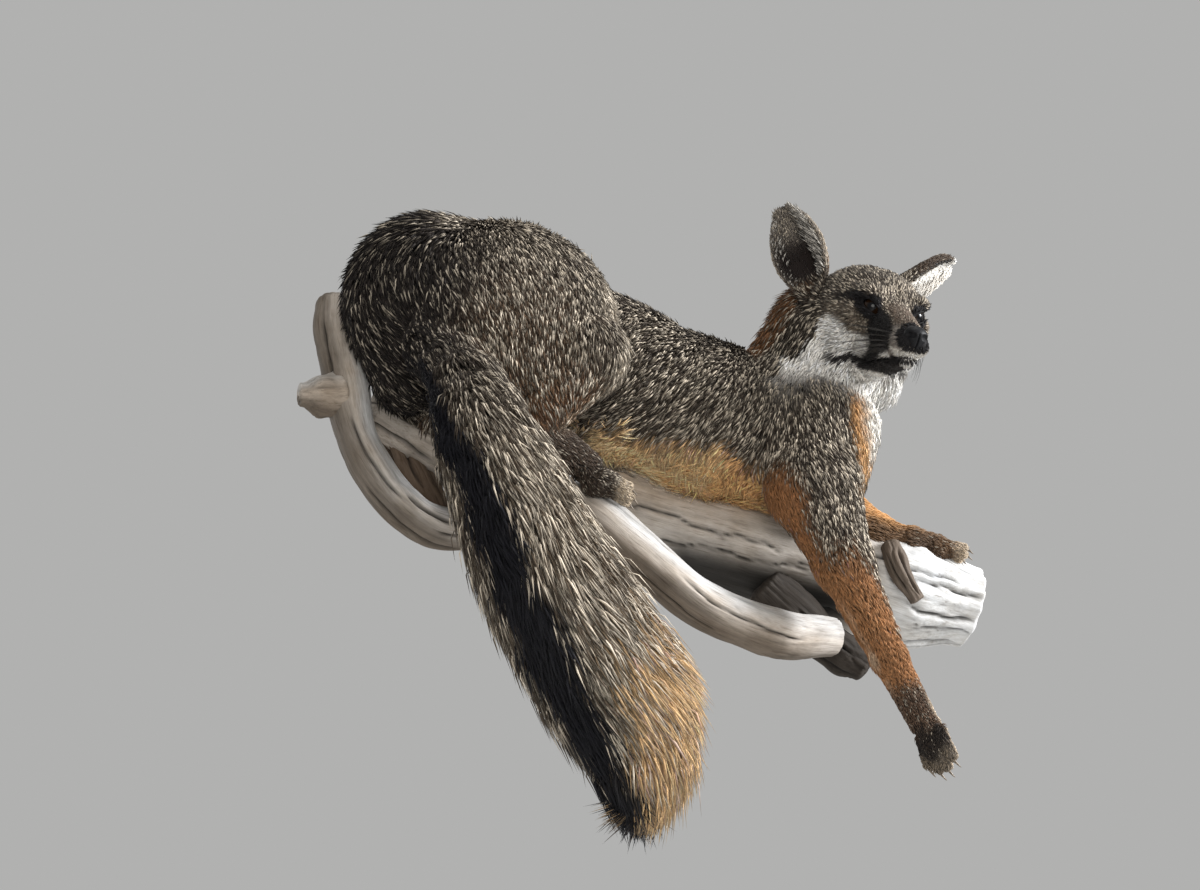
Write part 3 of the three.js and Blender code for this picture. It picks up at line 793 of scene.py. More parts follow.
def tail_angle(places):
    """Where a place lies along the tail, from 0 to 1, and its angle from the dark stripe."""
    ring, out = nearest_on_tail(places)
    tangent = tail_tangent[ring]
    back = unit_rows(TAIL_BACK - tangent * (tangent @ TAIL_BACK)[:, None])
    side = np.cross(tangent, back)
    t = ring / (TAIL_RINGS - 1)
    angle = np.arctan2((out * side).sum(1), (out * back).sum(1))
    stripe = np.radians(np.interp(t, STRIPE_ALONG, STRIPE_TURN))
    return t, np.angle(np.exp(1j * (angle - stripe)))


# The dark line through the eye, as (forward, side, up) on the head.
LINER = ((-24.2, 33.6, -2.6), (-15.1, 30.3, 1.7), (-6.4, 26.3, 3.6), (4.0, 21.7, 3.8), (7.7, 14.0, 2.1),
         (9.2, 11.6, -1.4))
LINER_WIDTHS = (3.4, 4.0, 4.2, 4.2, 4.0)
PALE_TOES = {"foot_right": 0.8, "foot_left": 0.8, "paw_right": 0.25, "paw_left": 0.6}
# Seen from the photo's side: the cheek's white top as (across, level), and the dark muzzle patch's edges.
CHEEK_TOP = ((-60, -57, -50, -44.8, -39.6, -35, -27.5, -18.2, -11.7, -8),
             (-48, -38.5, -29.3, -20.3, -10.4, -3.5, -8.2, -14.4, -18.5, -26))
PATCH_HEIGHT = (-36, -26, -13, -4)
PATCH_OUTER = (-13, -10.8, -13.8, -14)
PATCH_INNER = (-5.5, -3.4, -2.6, -5)
# The tail's dark stripe: how far along, and its turn in degrees.
STRIPE_ALONG = (0.04, 0.19, 0.30, 0.41, 0.51, 0.61, 0.71, 0.81)
STRIPE_TURN = (60, 48, 28, 24, 26, 34, 48, 56)
# The height where the grizzled flank turns tawny.
BELLY_X = (-60, -31, 20, 48, 67, 84)
BELLY_Z = (33, 29, 21, 15, 3, -10)


def markings(places, normals, weights):
    """The coat's tones at each place on the skin."""
    x, y, z = places.T
    f, l, u = to_head(x, y, z)
    side = np.abs(l)
    wobble = lattice_noise(places, 11, 3) - 0.5
    fine = lattice_noise(places, 4, 5) - 0.5
    drift = 7 * wobble + 4 * fine
    paint = Paint(len(places))
    lay = paint.lay

    def own(*names):
        return owned(weights, *names)

    lay(np.ones(len(places)), GRIZZLE, (0.065, 0.050, 0.037), SOOT, 0.46)

    # The back is blackest along the spine and over the rump. The rump's left side, turned from the window,
    # is painted near black: its dark fur with painted shade.
    spine = ramp(34, 12, np.abs(y + 102)) * ramp(0.3, 0.8, normals[:, 2])
    body = own("rump", "loin", "shoulder", "haunch_right", "haunch_left")
    lay(np.clip(spine * body, 0, 1) * 0.8, SOOT, (0.030, 0.023, 0.018), BLACK, 0.28)
    # Painted shade over dark fur: near black towards the rump's left, away from the window.
    rear = ramp(-120, -172, x + 2 * drift) * own("rump", "tail", "haunch_right")
    lay(np.clip(rear, 0, 1) * 0.9, BLACK, (0.018, 0.014, 0.012), BLACK, 0.15)

    # Flank and belly.
    belly_top = np.interp(x, BELLY_X, BELLY_Z)
    trunk = own("loin", "shoulder", "chest", "rump")
    belly = ramp(6, -6, z - belly_top + drift)
    lay(belly * trunk, (0.22, 0.115, 0.05), (0.78, 0.50, 0.25), (0.90, 0.69, 0.42), 0.1)
    rusty = ramp(-6, -22, z - belly_top + drift) + ramp(20, 70, x + 2 * drift)
    rusty = belly * trunk * np.clip(rusty, 0, 1) * 0.8
    lay(rusty, (0.18, 0.08, 0.03), (0.66, 0.33, 0.12), (0.80, 0.46, 0.19), 0.05)
    under = ramp(-0.5, -0.8, normals[:, 2]) * ramp(-72, -60, y)
    lay(belly * trunk * under, CREAM, WHITE, WHITE)

    # Thigh: brown low down, with a lighter middle and a cream edge along its front. The lighter middle, and
    # the pale edge and rim on the side that faces the window, are painted highlight laid over the thigh's
    # own paler fur.
    haunch = own("haunch_right", "haunch_left")
    low = ramp(52, 20, z + drift)
    lay(haunch * low * 0.85, UMBER, (0.20, 0.098, 0.046), (0.09, 0.046, 0.024), 0.22)
    # Painted highlight, with browner fur: a lighter middle on the round of the thigh.
    centre = ramp(62, 20, np.hypot(x + 118, z - 58) + 2 * drift)
    lay(haunch * centre * 0.7, GRIZZLE, (0.115, 0.072, 0.042), SOOT, 0.46)
    # Painted highlight: ash along the front edge, on the side that faces the window.
    edge = ramp(0.45, 0.85, normals[:, 0] - 0.012 * drift) * ramp(20, 34, z)
    lay(haunch * edge * 0.7, (0.16, 0.13, 0.10), (0.34, 0.28, 0.20), ASH, 0.6)
    # Painted highlight: a cream rim low down, on the side that faces the window.
    rim = ramp(0.25, 0.7, normals[:, 0] - 0.012 * drift) * ramp(30, 12, z) * ramp(-6, 6, z)
    lay(haunch * rim * 0.8, ASH, CREAM, CREAM, 0.3)

    # Neck and chest: rufous sides, then tawny, then a white throat and breast.
    front = 0.806 * x - 0.59 * y
    breast_zone = own("shoulder", "chest", "neck", "upper_arm", "throat", "forearm_left")
    breast = breast_zone * ramp(62, 40, z)
    lay(breast * ramp(184, 190, front + drift * 0.6), RUFOUS, (0.50, 0.27, 0.11), (0.52, 0.33, 0.17))
    lay(breast * ramp(191, 199, front + drift * 0.5), CREAM, WHITE, WHITE)
    neck = own("neck", "throat")
    nape = neck * ramp(50, 62, z)
    lay(nape * ramp(-30, -50, f) * 0.85, UMBER, (0.21, 0.095, 0.036), (0.12, 0.055, 0.024), 0.12)

    # Forelegs: dark grizzled in front, rufous behind, pale along the hind edge, dark paws.
    leg_line = np.interp(z, (-220, -154, -100, -73, -44, 0), (150, 122, 99, 85, 76, 66))
    leg = own("forearm_right", "upper_arm", "paw_right", "toes_paw_right")
    behind = ramp(5, -5, x - leg_line - 2 + drift * 0.7) * ramp(6, -18, z)
    lay(leg * behind, (0.14, 0.06, 0.025), (0.30, 0.135, 0.055), (0.33, 0.165, 0.075))
    lower = leg * ramp(-52, -88, z + drift) * ramp(-166, -150, z)
    lower *= ramp(24, 8, x - leg_line - 6 - drift)
    lay(lower, (0.12, 0.052, 0.022), (0.31, 0.145, 0.06), (0.36, 0.19, 0.088))
    rear_edge = ramp(-0.86, -0.97, normals[:, 0]) * ramp(-84, -110, z)
    lay(leg * rear_edge * 0.5, TAWNY, CREAM, CREAM)
    wrist = own("forearm_right", "paw_right", "toes_paw_right") * ramp(-154, -166, z + drift)
    lay(wrist, SOOT, (0.105, 0.066, 0.043), (0.075, 0.046, 0.03), 0.12)
    under_paw = ramp(-181, -189, z + drift) * ramp(0.6, 0.2, normals[:, 0])
    lay(own("paw_right", "toes_paw_right") * under_paw, BLACK, (0.035, 0.026, 0.02), BLACK, 0.03)
    lay(leg * ramp(0.3, 0.75, normals[:, 0]) * ramp(-158, -172, z) * 0.75, ASH, CREAM, CREAM)
    left_arm = own("forearm_left", "paw_left")
    lay(left_arm, RUFOUS, (0.50, 0.25, 0.09), (0.5, 0.28, 0.12))
    lay(left_arm * ramp(-12, -26, z - 0.25 * (190 - x)) * 0.85, SOOT, UMBER, UMBER)
    paws = own("foot_right", "foot_left", "paw_left")
    lay(paws * 0.95, BLACK, (0.060, 0.040, 0.027), (0.035, 0.024, 0.017), 0.05)
    for name, digits in TOES.items():
        ends = np.min([np.linalg.norm(places - q, axis=1) for _, q, _ in digits], axis=0)
        lay(ramp(11, 5, ends + drift * 0.3) * PALE_TOES[name], ASH, CREAM, CREAM)

    # Tail: grizzled cream, warmer towards the end, with a dark stripe and a black tip.
    tail = own("tail")
    t, turn = tail_angle(places)
    grey = tail * ramp(0.04, 0.3, t)
    lay(grey, (0.030, 0.023, 0.017), (0.085, 0.066, 0.048), (0.035, 0.027, 0.020), 0.46)
    # Painted highlight: the side of the tail that faces the window is paler, with more pale bands.
    painted_light = tail * ramp(0.2, 0.4, t) * ramp(-0.2, -0.6, turn)
    lay(painted_light * 0.85, (0.032, 0.023, 0.016), (0.115, 0.086, 0.058), (0.055, 0.042, 0.030), 0.60)
    warm = ramp(0.52, 0.72, t + 0.05 * wobble) * ramp(-0.45, -1.1, turn + 0.5 * wobble)
    lay(tail * warm, (0.11, 0.058, 0.026), (0.56, 0.36, 0.18), (0.74, 0.53, 0.30), 0.35)
    stripe = ramp(0.44, 0.32, np.abs(turn) + 0.16 * wobble) * ramp(0.0, 0.08, t)
    lay(tail * stripe, (0.006, 0.006, 0.008), (0.007, 0.007, 0.010), (0.008, 0.008, 0.012))
    end = 0.78 + 0.10 * ramp(-0.3, -1.2, turn)
    lay(tail * ramp(-0.02, 0.02, t - end + 0.08 * wobble), BLACK, BLACK, (0.008, 0.009, 0.014))

    # Head: grizzled, with rust behind the jaw and a dark sideburn before it.
    head = own("crown", "cheek", "face", "jaw", "throat", "neck") * ramp(-62, -52, f)
    brow = head * ramp(-52, -40, f)
    lay(brow, (0.030, 0.024, 0.019), (0.075, 0.060, 0.048), (0.022, 0.018, 0.014), 0.44)
    rust = ramp(26, 36, side + drift * 0.5) * ramp(-41, -49, f + drift * 0.5)
    rust *= ramp(14, 2, u)
    lay(head * rust * 0.8, SOOT, (0.13, 0.062, 0.028), (0.06, 0.032, 0.017), 0.2)
    burn = ramp(-49, -42, f + drift * 0.4) * ramp(-24, -29, f)
    burn *= ramp(26, 36, side) * ramp(4, -6, u)
    lay(head * burn, SOOT, (0.035, 0.028, 0.021), SOOT, 0.36)
    # White cheek and throat, below a line from the eye's tail to the muzzle.
    across = 0.155 * f - 0.983 * side
    level = 0.993 * u - 0.077 * f + 0.085 * side
    cheek_top = np.interp(across, CHEEK_TOP[0], CHEEK_TOP[1])
    white = ramp(1.6, -1.6, level - cheek_top + drift * 0.25) * ramp(-48, -40, f)
    below = ramp(-35, -40, u) * ramp(-58, -50, f + 0.35 * (u + 30) + drift * 0.5)
    below *= ramp(57, 49, side + drift * 0.4)
    lay(head * np.maximum(white, below), (0.70, 0.66, 0.60), (0.90, 0.87, 0.82), (0.92, 0.90, 0.86))
    # Grey below the eye, a brown bridge, pale flews and a dark patch beside the nose.
    grey = ramp(-1.5, 1.5, level - cheek_top) * ramp(0, -4, u)
    grey *= ramp(-22, -17, f) * ramp(9, 4, f)
    lay(head * grey, (0.065, 0.050, 0.038), (0.16, 0.13, 0.10), (0.11, 0.088, 0.068), 0.3)
    bridge = ramp(9, 6.5, side) * ramp(8, 18, f) * ramp(-24, -16, u)
    lay(head * bridge, (0.055, 0.040, 0.029), (0.14, 0.105, 0.080), (0.10, 0.075, 0.058), 0.12)
    flews = ramp(35, 40, f) * ramp(-8, -12, u) * ramp(2, 5, side)
    lay(head * flews, (0.13, 0.12, 0.105), (0.30, 0.27, 0.24), (0.26, 0.235, 0.21), 0.05)
    patch_outer = np.interp(level, PATCH_HEIGHT, PATCH_OUTER)
    patch_inner = np.interp(level, PATCH_HEIGHT, PATCH_INNER)
    patch_top = np.interp(f, (8, 15.6, 41.9), (1.5, -1.5, -9.6))
    patch = ramp(-1.2, 1.2, across - patch_outer + drift * 0.25)
    patch *= ramp(1.5, -1.5, across - patch_inner + drift * 0.25) * ramp(-8, -2, f)
    patch *= ramp(1.4, -1.4, u - patch_top + drift * 0.2) * ramp(-41, -38.5, u)
    patch *= ramp(3, 5, side)
    lay(head * patch, BLACK, (0.011, 0.010, 0.010), (0.013, 0.012, 0.012))
    lips = np.abs(u - mouth_line(f) + 0.4)
    lay(head * ramp(2.6, 1.5, lips) * ramp(-24, -14, f), BLACK, BLACK, BLACK)
    chin = ramp(-8, 2, f) * ramp(48.5, 45.5, f)
    chin *= ramp(-42, -39.5, u + 0.1 * (f - 20)) * (u < mouth_line(f))
    lay(head * chin, BLACK, (0.011, 0.010, 0.010), BLACK)
    front = ramp(43, 47, f) * ramp(-22, -24, u) * ramp(-29.5, -27.5, u)
    lay(head * front, CREAM, WHITE, WHITE)
    pad = ramp(11, 9.4, np.linalg.norm(np.stack([f - 52, l, u + 15], 1), axis=1))
    lay(head * pad * (u > -22.5), BLACK, BLACK, BLACK)
    here = np.stack([f, side, u], 1)
    for a, b, wide in zip(LINER, LINER[1:], LINER_WIDTHS):
        line = ramp(wide, wide * 0.5, line_distance(here, a, b))
        lay(head * line, BLACK, (0.016, 0.012, 0.010), BLACK)
    for name in EYES:
        slit, ahead = lid_slit(places, name, 0.6)
        lay(ramp(2.0, 1.5, slit + 0.03 * drift) * ahead, BLACK, BLACK, BLACK)

    # Ears: brown backs with a rufous root, pale rims and a dark cup, painted near black deep in the right
    # ear's hollow as painted shade.
    for name, ear in EARS.items():
        t, v = ear.local(x, y, z)[:2]
        flap = own("ear_" + name) * ramp(-0.05, 0.1, t)
        cup = flap * (normals @ ear.front > 0)
        lay(flap, BLACK, (0.055, 0.036, 0.023), (0.035, 0.024, 0.016), 0.04)
        if name == "right":
            lay(flap * ramp(0.4, 0.1, t) * 0.6, UMBER, (0.16, 0.08, 0.035), UMBER, 0.1)
            lay(cup, (0.035, 0.028, 0.024), (0.17, 0.148, 0.128), (0.22, 0.195, 0.17), 0.3)
            # Painted shade: the deepest part of the right ear's cup is almost black.
            deep = ramp(0.66, 0.36, t) * ramp(0.9, 0.5, np.abs(v + 0.15))
            lay(cup * deep, (0.012, 0.008, 0.007), (0.020, 0.013, 0.011), BLACK)
        else:
            fold = np.interp(t, *EAR_FOLD)
            cup = cup * ramp(-0.06, 0.06, v - fold)
            lay(cup, WHITE, WHITE, WHITE)
            lay(cup * ramp(0.4, 0.2, t) * ramp(0.6, 0.3, np.abs(v)), UMBER, ASH, ASH, 0.2)
        rim = ramp(0.84, 0.95, np.abs(v)) * ramp(0.0, 0.2, t) * (cup if name == "left" else flap)
        lay(rim * 0.85, ASH, CREAM, WHITE)
    return paint


# ---- the coat

def belly_fringe(places, weights):
    """Where the long hair of the belly hangs."""
    x, _, z = places.T
    top = np.interp(x, BELLY_X, BELLY_Z)
    return ramp(10, -10, z - top) * owned(weights, "loin", "shoulder", "chest", "rump")


LEAST_SHARE = 0.02               # a zone with less of a place doesn't comb it


def combed(places, normals, weights):
    """The lie of the hair along the skin."""
    flow = np.zeros_like(places)
    for column, zone in enumerate(zones):
        mine = weights[:, column] > LEAST_SHARE
        if mine.any():
            flow[mine] += weights[mine, column, None] * zone.lie(places[mine])
    swirl = np.stack([lattice_noise(places, 13, seed) - 0.5 for seed in (11, 12, 13)], 1)
    hang = belly_fringe(places, weights)[:, None]
    flow = unit_rows(flow * (1 - hang) + np.array([-0.18, -0.25, -0.95]) * hang, TINY) + 0.5 * swirl
    flow -= normals * (flow * normals).sum(1, keepdims=True)
    return unit_rows(flow, TINY)


def bare(places, normals, weights):
    """Where no fur grows: eyelids' rims, the lips' cleft and the floor of each ear."""
    f, l, u = to_head(*places.T)
    keep = np.ones(len(places))
    for name in EYES:
        slit, ahead = lid_slit(places, name)
        keep *= 1 - (slit < 1.25) * ahead
    keep *= 1 - (np.abs(u - mouth_line(f)) < 0.9) * (f > -6) * (np.abs(l) < 26)
    keep *= 1 - (np.linalg.norm(places - on_head(53, 0, -14), axis=1) < 7.6) * (u > -20.5)
    for name, ear in EARS.items():
        t, v = ear.local(*places.T)[:2]
        cup = owned(weights, "ear_" + name) * (normals @ ear.front > 0) * ramp(0.7, 0.4, np.abs(v))
        keep *= 1 - 0.85 * np.clip(cup * ramp(0.6, 0.3, t), 0, 1)
    return keep


GROUPS = {
    "coat_crown": ("grizzled_fur", ("crown",)),
    "coat_face": ("grizzled_fur", ("face", "jaw")),
    "coat_ears": ("dark_fur", ("ear_right", "ear_left")),
    "coat_cheeks": ("grizzled_fur", ("cheek", "throat")),
    "coat_neck": ("rufous_fur", ("neck", "chest")),
    "coat_shoulder": ("grizzled_fur", ("shoulder", "upper_arm")),
    "coat_flank": ("grizzled_fur", ("loin",)),
    "coat_rump": ("grizzled_fur", ("rump",)),
    "coat_haunch_right": ("grizzled_fur", ("haunch_right",)),
    "coat_haunch_left": ("grizzled_fur", ("haunch_left",)),
    "coat_forelegs": ("rufous_fur", ("forearm_right", "forearm_left")),
    "coat_paws": ("dark_fur", (*TOES, *("toes_" + name for name in TOES))),
    "coat_tail": ("grizzled_fur", ("tail",)),
}
PIECE_LIMIT = 32000              # tufts in one mesh
BRIGHTEST = 0.92
PATCH = 0.003                    # the size of a tuft's place on the OFBake map
THINNING = 1.0
LOCK, LOCK_ON_TAIL = 5.5, 2.5    # the size of a lock, and how much larger it is on the tail
FLASH = (0.70, 0.61, 0.49)       # the pale band of a guard hair


def wall_side(places):
    """From 0 at the front of the body to 1 near the wall."""
    return ramp(-62, -45, places[:, 1])


def grow_coat(mesh):
    """Every tuft of the coat, as joined meshes over the skin. Returns the ears' roots and their UVs."""
    places = read(mesh, "vertices", "co", 3) / MM
    normals = read(mesh, "vertices", "normal", 3)
    mesh.calc_loop_triangles()
    corners = read(mesh, "loop_triangles", "vertices", 3).astype(int)
    loops = read(mesh, "loop_triangles", "loops", 3).astype(int)
    chart = np.empty(len(mesh.loops) * 2, np.float32)
    mesh.uv_layers["OFBake"].uv.foreach_get("vector", chart)
    chart = chart.reshape(-1, 2)
    weights = zone_weights(places)
    # How many tufts grow on each triangle: more along the belly, fewer against the wall.
    density = weights @ np.array([zone.density for zone in zones]) * bare(places, normals, weights)
    density *= 1 + 0.7 * belly_fringe(places, weights)
    density *= 1 - 0.55 * wall_side(places) * (weights[:, zone_number["forearm_left"]] < 0.5)
    a, b, c = (places[corners[:, i]] for i in range(3))
    area = np.linalg.norm(np.cross(b - a, c - a), axis=1) / 2
    expected = area * density[corners].mean(1) * THINNING
    count = (expected + rng.random(len(expected))).astype(int)
    face = np.repeat(np.arange(len(corners)), count)
    w = rng.dirichlet((1, 1, 1), len(face))

    def blend(values):
        return (values * w[:, :, None]).sum(1)

    root = blend(places[corners[face]])
    normal = unit_rows(blend(normals[corners[face]]))
    uv = blend(chart[loops[face]])
    weight = blend(weights[corners[face]])
    paint = markings(root, normal, weight)
    lie = combed(root, normal, weight)
    own = weight.argmax(1)
    values = {key: weight @ np.array([getattr(zone, key) for zone in zones])
              for key in ("length", "width", "lift")}
    n = len(root)
    width = values["width"] * rng.uniform(0.75, 1.25, n)
    lift = np.radians(values["lift"] * rng.normal(1, 0.2, n).clip(0.4, 1.5))
    tail = weight[:, zone_number["tail"]]
    t, _ = tail_angle(root)
    length = values["length"] + tail * np.interp(t, TAIL_T, TAIL_HAIR)
    length *= rng.normal(1, 0.16, n).clip(0.6, 1.5)
    fringe = belly_fringe(root, weight)
    length *= 1 + 0.45 * fringe
    width *= (1 - 0.25 * tail * ramp(0.35, 0.1, t)) * (1 - 0.3 * fringe)
    lift *= 1 - 0.45 * tail * ramp(0.2, 0.05, t)
    lift *= 1 - 0.3 * wall_side(root) * (root[:, 0] < 90)
    sideways = np.cross(normal, lie)
    lie = unit_rows(lie + sideways * rng.normal(0, 0.16, n)[:, None])
    sideways = np.cross(normal, lie)
    rise, reach = np.sin(lift)[:, None], np.cos(lift)[:, None]
    size = length[:, None]
    tip = root + size * (lie * reach + normal * rise * 0.85)
    # Neighbouring tips gather into locks, loosely on the body and closely on the tail.
    warp = np.stack([lattice_noise(root, 17, seed) for seed in (31, 32, 33)], 1) * 30
    cell = np.floor((root + warp) / (LOCK + LOCK_ON_TAIL * (tail[:, None] > 0.5))).astype(int)
    lock = np.unique(cell, axis=0, return_inverse=True)[1].ravel()
    many = np.bincount(lock)[lock]
    middle = np.stack([np.bincount(lock, tip[:, i])[lock] / many for i in range(3)], 1)
    pull = (0.18 + 0.22 * tail)[:, None] * rng.uniform(0.4, 1.3, n)[:, None]
    tip += (middle - tip) * pull
    start = root - normal * 0.8
    bend = root + (tip - root) * 0.58 + normal * size * rise * 0.22
    half = width[:, None] * sideways * 0.5
    ridge = normal * width[:, None] * 0.38
    # Each hair is dark at the root, and some carry a pale band, as a gray fox's guard hairs do.
    pale = rng.random(n)[:, None] < paint.pale[:, None]
    shade = rng.lognormal(0, 0.22, n)[:, None]
    under = paint.root * shade
    band = paint.band * rng.lognormal(0, 0.2 + 0.2 * fringe)[:, None]
    bright = rng.uniform(0.3, 1.1, n) * np.clip(0.5 + 1.2 * paint.pale, 0, 1.15)
    flash = np.maximum(np.array(FLASH) * bright[:, None], paint.band * 1.1)
    band = np.where(pale, flash, band)
    end = np.where(pale, flash * 0.45, paint.tip * shade)
    tones = np.stack([under, band, band, band, end], 1)
    corners = np.stack([start, bend - half - ridge * 0.3, bend + half - ridge * 0.3, bend + ridge, tip], 1)
    for name, (slot, members) in GROUPS.items():
        mine = np.flatnonzero(np.isin(own, [zone_number[member] for member in members]))
        mine = mine[np.argsort(-root[mine, 2])]
        pieces = -(-len(mine) // PIECE_LIMIT)
        for k, share in enumerate(np.array_split(mine, pieces)):
            title = f"{name}_{k + 1}" if pieces > 1 else name
            make_tufts(title, slot, corners[share], tones[share], uv[share])
    ears = np.isin(own, [zone_number["ear_right"], zone_number["ear_left"]])
    return root[ears], uv[ears]


def ear_hair():
    """Long pale hair that sweeps across each ear's cup from its rims."""
    bases, ways, outs, tints = [], [], [], []
    for name, ear in EARS.items():
        for rim, count, reach in ((0.86, 330, 1.0), (-0.86, 70, 0.45)):
            t = rng.uniform(0.0, 0.88, count)
            v = rim * rng.uniform(0.65, 1.02, count)
            half = ear_half_width(t)
            hollow = EAR_CUP * (1 - 0.8 * t) * (1 - v * v)
            base = (ear.base + ear.up * (EAR_LENGTH * t)[:, None] + ear.side * (half * v)[:, None]
                    - ear.front * (hollow - 1.2)[:, None])
            way = ear.up - ear.side * np.sign(rim) * rng.uniform(0.25, 0.85, count)[:, None]
            size = half * rng.uniform(0.5, 1.05, count) * reach * np.interp(t, (0, 0.3, 0.5), (0.5, 0.75, 1))
            bases.append(base)
            ways.append(unit_rows(way) * size[:, None])
            outs.append(np.broadcast_to(ear.front, base.shape))
            if name == "right":
                bright = rng.uniform(0.2, 0.8, count)
            else:
                bright = np.where(v > np.interp(t, *EAR_FOLD), 1.1, 0.07) * rng.uniform(0.8, 1.05, count)
            tints.append(np.array([0.72, 0.68, 0.62]) * bright[:, None])
    base, way, out, tint = (np.concatenate(part) for part in (bases, ways, outs, tints))
    across = unit_rows(np.cross(out, way))
    bend = base + way * 0.5 + out * 0.9
    tip = base + way - out * 2.2
    corner = np.stack([base - out, bend - across * 0.45, bend + across * 0.45, bend + out * 0.35, tip], 1)
    tone = np.stack([tint * 0.6, tint, tint, tint, tint * 0.9], 1)
    return corner, tone


# A tuft's six faces, and its corners on its patch of the OFBake map.
SPINDLE = np.array([(0, 2, 1), (0, 3, 2), (0, 1, 3), (4, 1, 2), (4, 2, 3), (4, 3, 1)])
SPINDLE_UV = np.array([(0.5, 0), (0, 0.58), (1, 0.58), (0.5, 0.58), (0.5, 1)]) - 0.5


def make_tufts(name, slot, corner, tone, uv):
    n = len(corner)
    mesh = bpy.data.meshes.new(name)
    faces = (np.arange(n)[:, None, None] * 5 + SPINDLE[None]).reshape(-1, 3)
    mesh.vertices.add(n * 5)
    mesh.loops.add(faces.size)
    mesh.polygons.add(len(faces))
    mesh.vertices.foreach_set("co", (corner.reshape(-1) * MM).astype(np.float32))
    mesh.loops.foreach_set("vertex_index", faces.ravel().astype(np.int32))
    mesh.polygons.foreach_set("loop_start", np.arange(0, faces.size, 3, dtype=np.int32))
    mesh.polygons.foreach_set("use_smooth", np.ones(len(faces), bool))
    layer = mesh.uv_layers.new(name="OFBake")
    spot = uv[:, None, :] + SPINDLE_UV[None] * PATCH
    layer.uv.foreach_set("vector", spot[:, SPINDLE].reshape(-1).astype(np.float32))
    colour_points(mesh, "coat", np.clip(tone.reshape(-1, 3), 0, BRIGHTEST))
    mesh.update(calc_edges=True)
    place_piece(name, mesh, coat_material, slot)


def fur_shader(name, roughness, strength):
    shader = Shader(name, roughness, Sheen_Weight=0.03, Sheen_Roughness=0.5, Specular_IOR_Level=0.14)
    at = shader.object_coordinates()
    grain = shader.noise(at, 900, 3)
    broad = shader.noise(at, 45, 3)
    tint = shader.ramp(grain, (0.25, (0.72, 0.72, 0.72)), (0.75, (1.0, 1.0, 1.0)))
    wide = shader.ramp(broad, (0.3, (0.86, 0.86, 0.86)), (0.7, (1.0, 1.0, 1.0)))
    shader.colour(shader.product(shader.attribute("coat"), tint, wide))
    shader.roughness(grain, roughness - 0.1, roughness + 0.12)
    shader.bump(grain, strength, 0.0004)
    return shader.material


coat_material = fur_shader("coat", 0.6, 0.25)
skin_material = fur_shader("skin", 0.75, 0.6)

skin_mesh = build_skin()
flesh = [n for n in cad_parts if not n.startswith(("driftwood", "eye", "nose"))]
skin = place_piece("skin", skin_mesh, skin_material, "grizzled_fur", *flesh)
for other in bpy.context.selected_objects:
    other.select_set(False)
skin.select_set(True)
bpy.context.view_layer.objects.active = skin
bpy.ops.object.mode_set(mode="EDIT")
bpy.ops.mesh.select_all(action="SELECT")
bpy.ops.uv.smart_project(angle_limit=math.radians(66), island_margin=0.002)
bpy.ops.object.mode_set(mode="OBJECT")
skin_mesh.uv_layers[0].name = "OFBake"
skin_mesh.shade_smooth()
places = read(skin_mesh, "vertices", "co", 3) / MM
normals = read(skin_mesh, "vertices", "normal", 3)
tones = markings(places, normals, zone_weights(places))
# The skin takes the hair's root and band tones, darkened: partly the darker underfur, partly painted shade
# between the tufts.
colour_points(skin_mesh, "coat", np.clip(tones.root * 0.55 + tones.band * 0.3, 0, 0.9))
ear_root, ear_spot = grow_coat(skin_mesh)
ear_corner, ear_tone = ear_hair()
nearest = [((ear_root - base) ** 2).sum(1).argmin() for base in ear_corner[:, 0]]
make_tufts("ear_hair", "dark_fur", ear_corner, ear_tone, ear_spot[nearest])


# ---- driftwood

def limb_line(stops, rings):
    """Centres, radii, tangents and two cross directions along a limb."""
    line = catmull(stops, rings + 1)
    centre = line[:, :3]
    place = np.linspace(0, len(stops) - 1, rings + 1)
    before = np.minimum(place.astype(int), len(stops) - 2)
    mix = place - before
    ease = mix * mix * (3 - 2 * mix)
    radii = np.array(stops, float)[:, 3]
    radius = radii[before] * (1 - ease) + radii[before + 1] * ease
    tangent = unit_rows(np.gradient(centre, axis=0))
    across = np.empty_like(tangent)
    last = np.array([0.0, 1.0, 0.0])
    for i, way in enumerate(tangent):
        last = unit(last - way * (last @ way))
        across[i] = last
    return centre, radius, tangent, across, np.cross(tangent, across)


CAP_ROWS = 14
WALL = -0.05                     # the wood's flat back, just clear of the wall
ASHEN = np.array([0.56, 0.53, 0.495])
TAN = np.array([0.44, 0.365, 0.29])
# SILVER is a pale bluish tone, laid on as painted highlight where the wood faces the window, and on the
# log's bleached end.
SILVER = np.array([0.78, 0.80, 0.82])


def tube_faces(rows, sides):
    """Quads around rings of `sides` places, and a face across each end."""
    grid = np.arange(rows * sides).reshape(rows, sides)
    right = np.roll(grid, -1, 1)
    quads = np.stack([grid[:-1], right[:-1], right[1:], grid[1:]], -1).reshape(-1, 4).tolist()
    return quads + [grid[0, ::-1].tolist(), grid[-1].tolist()]


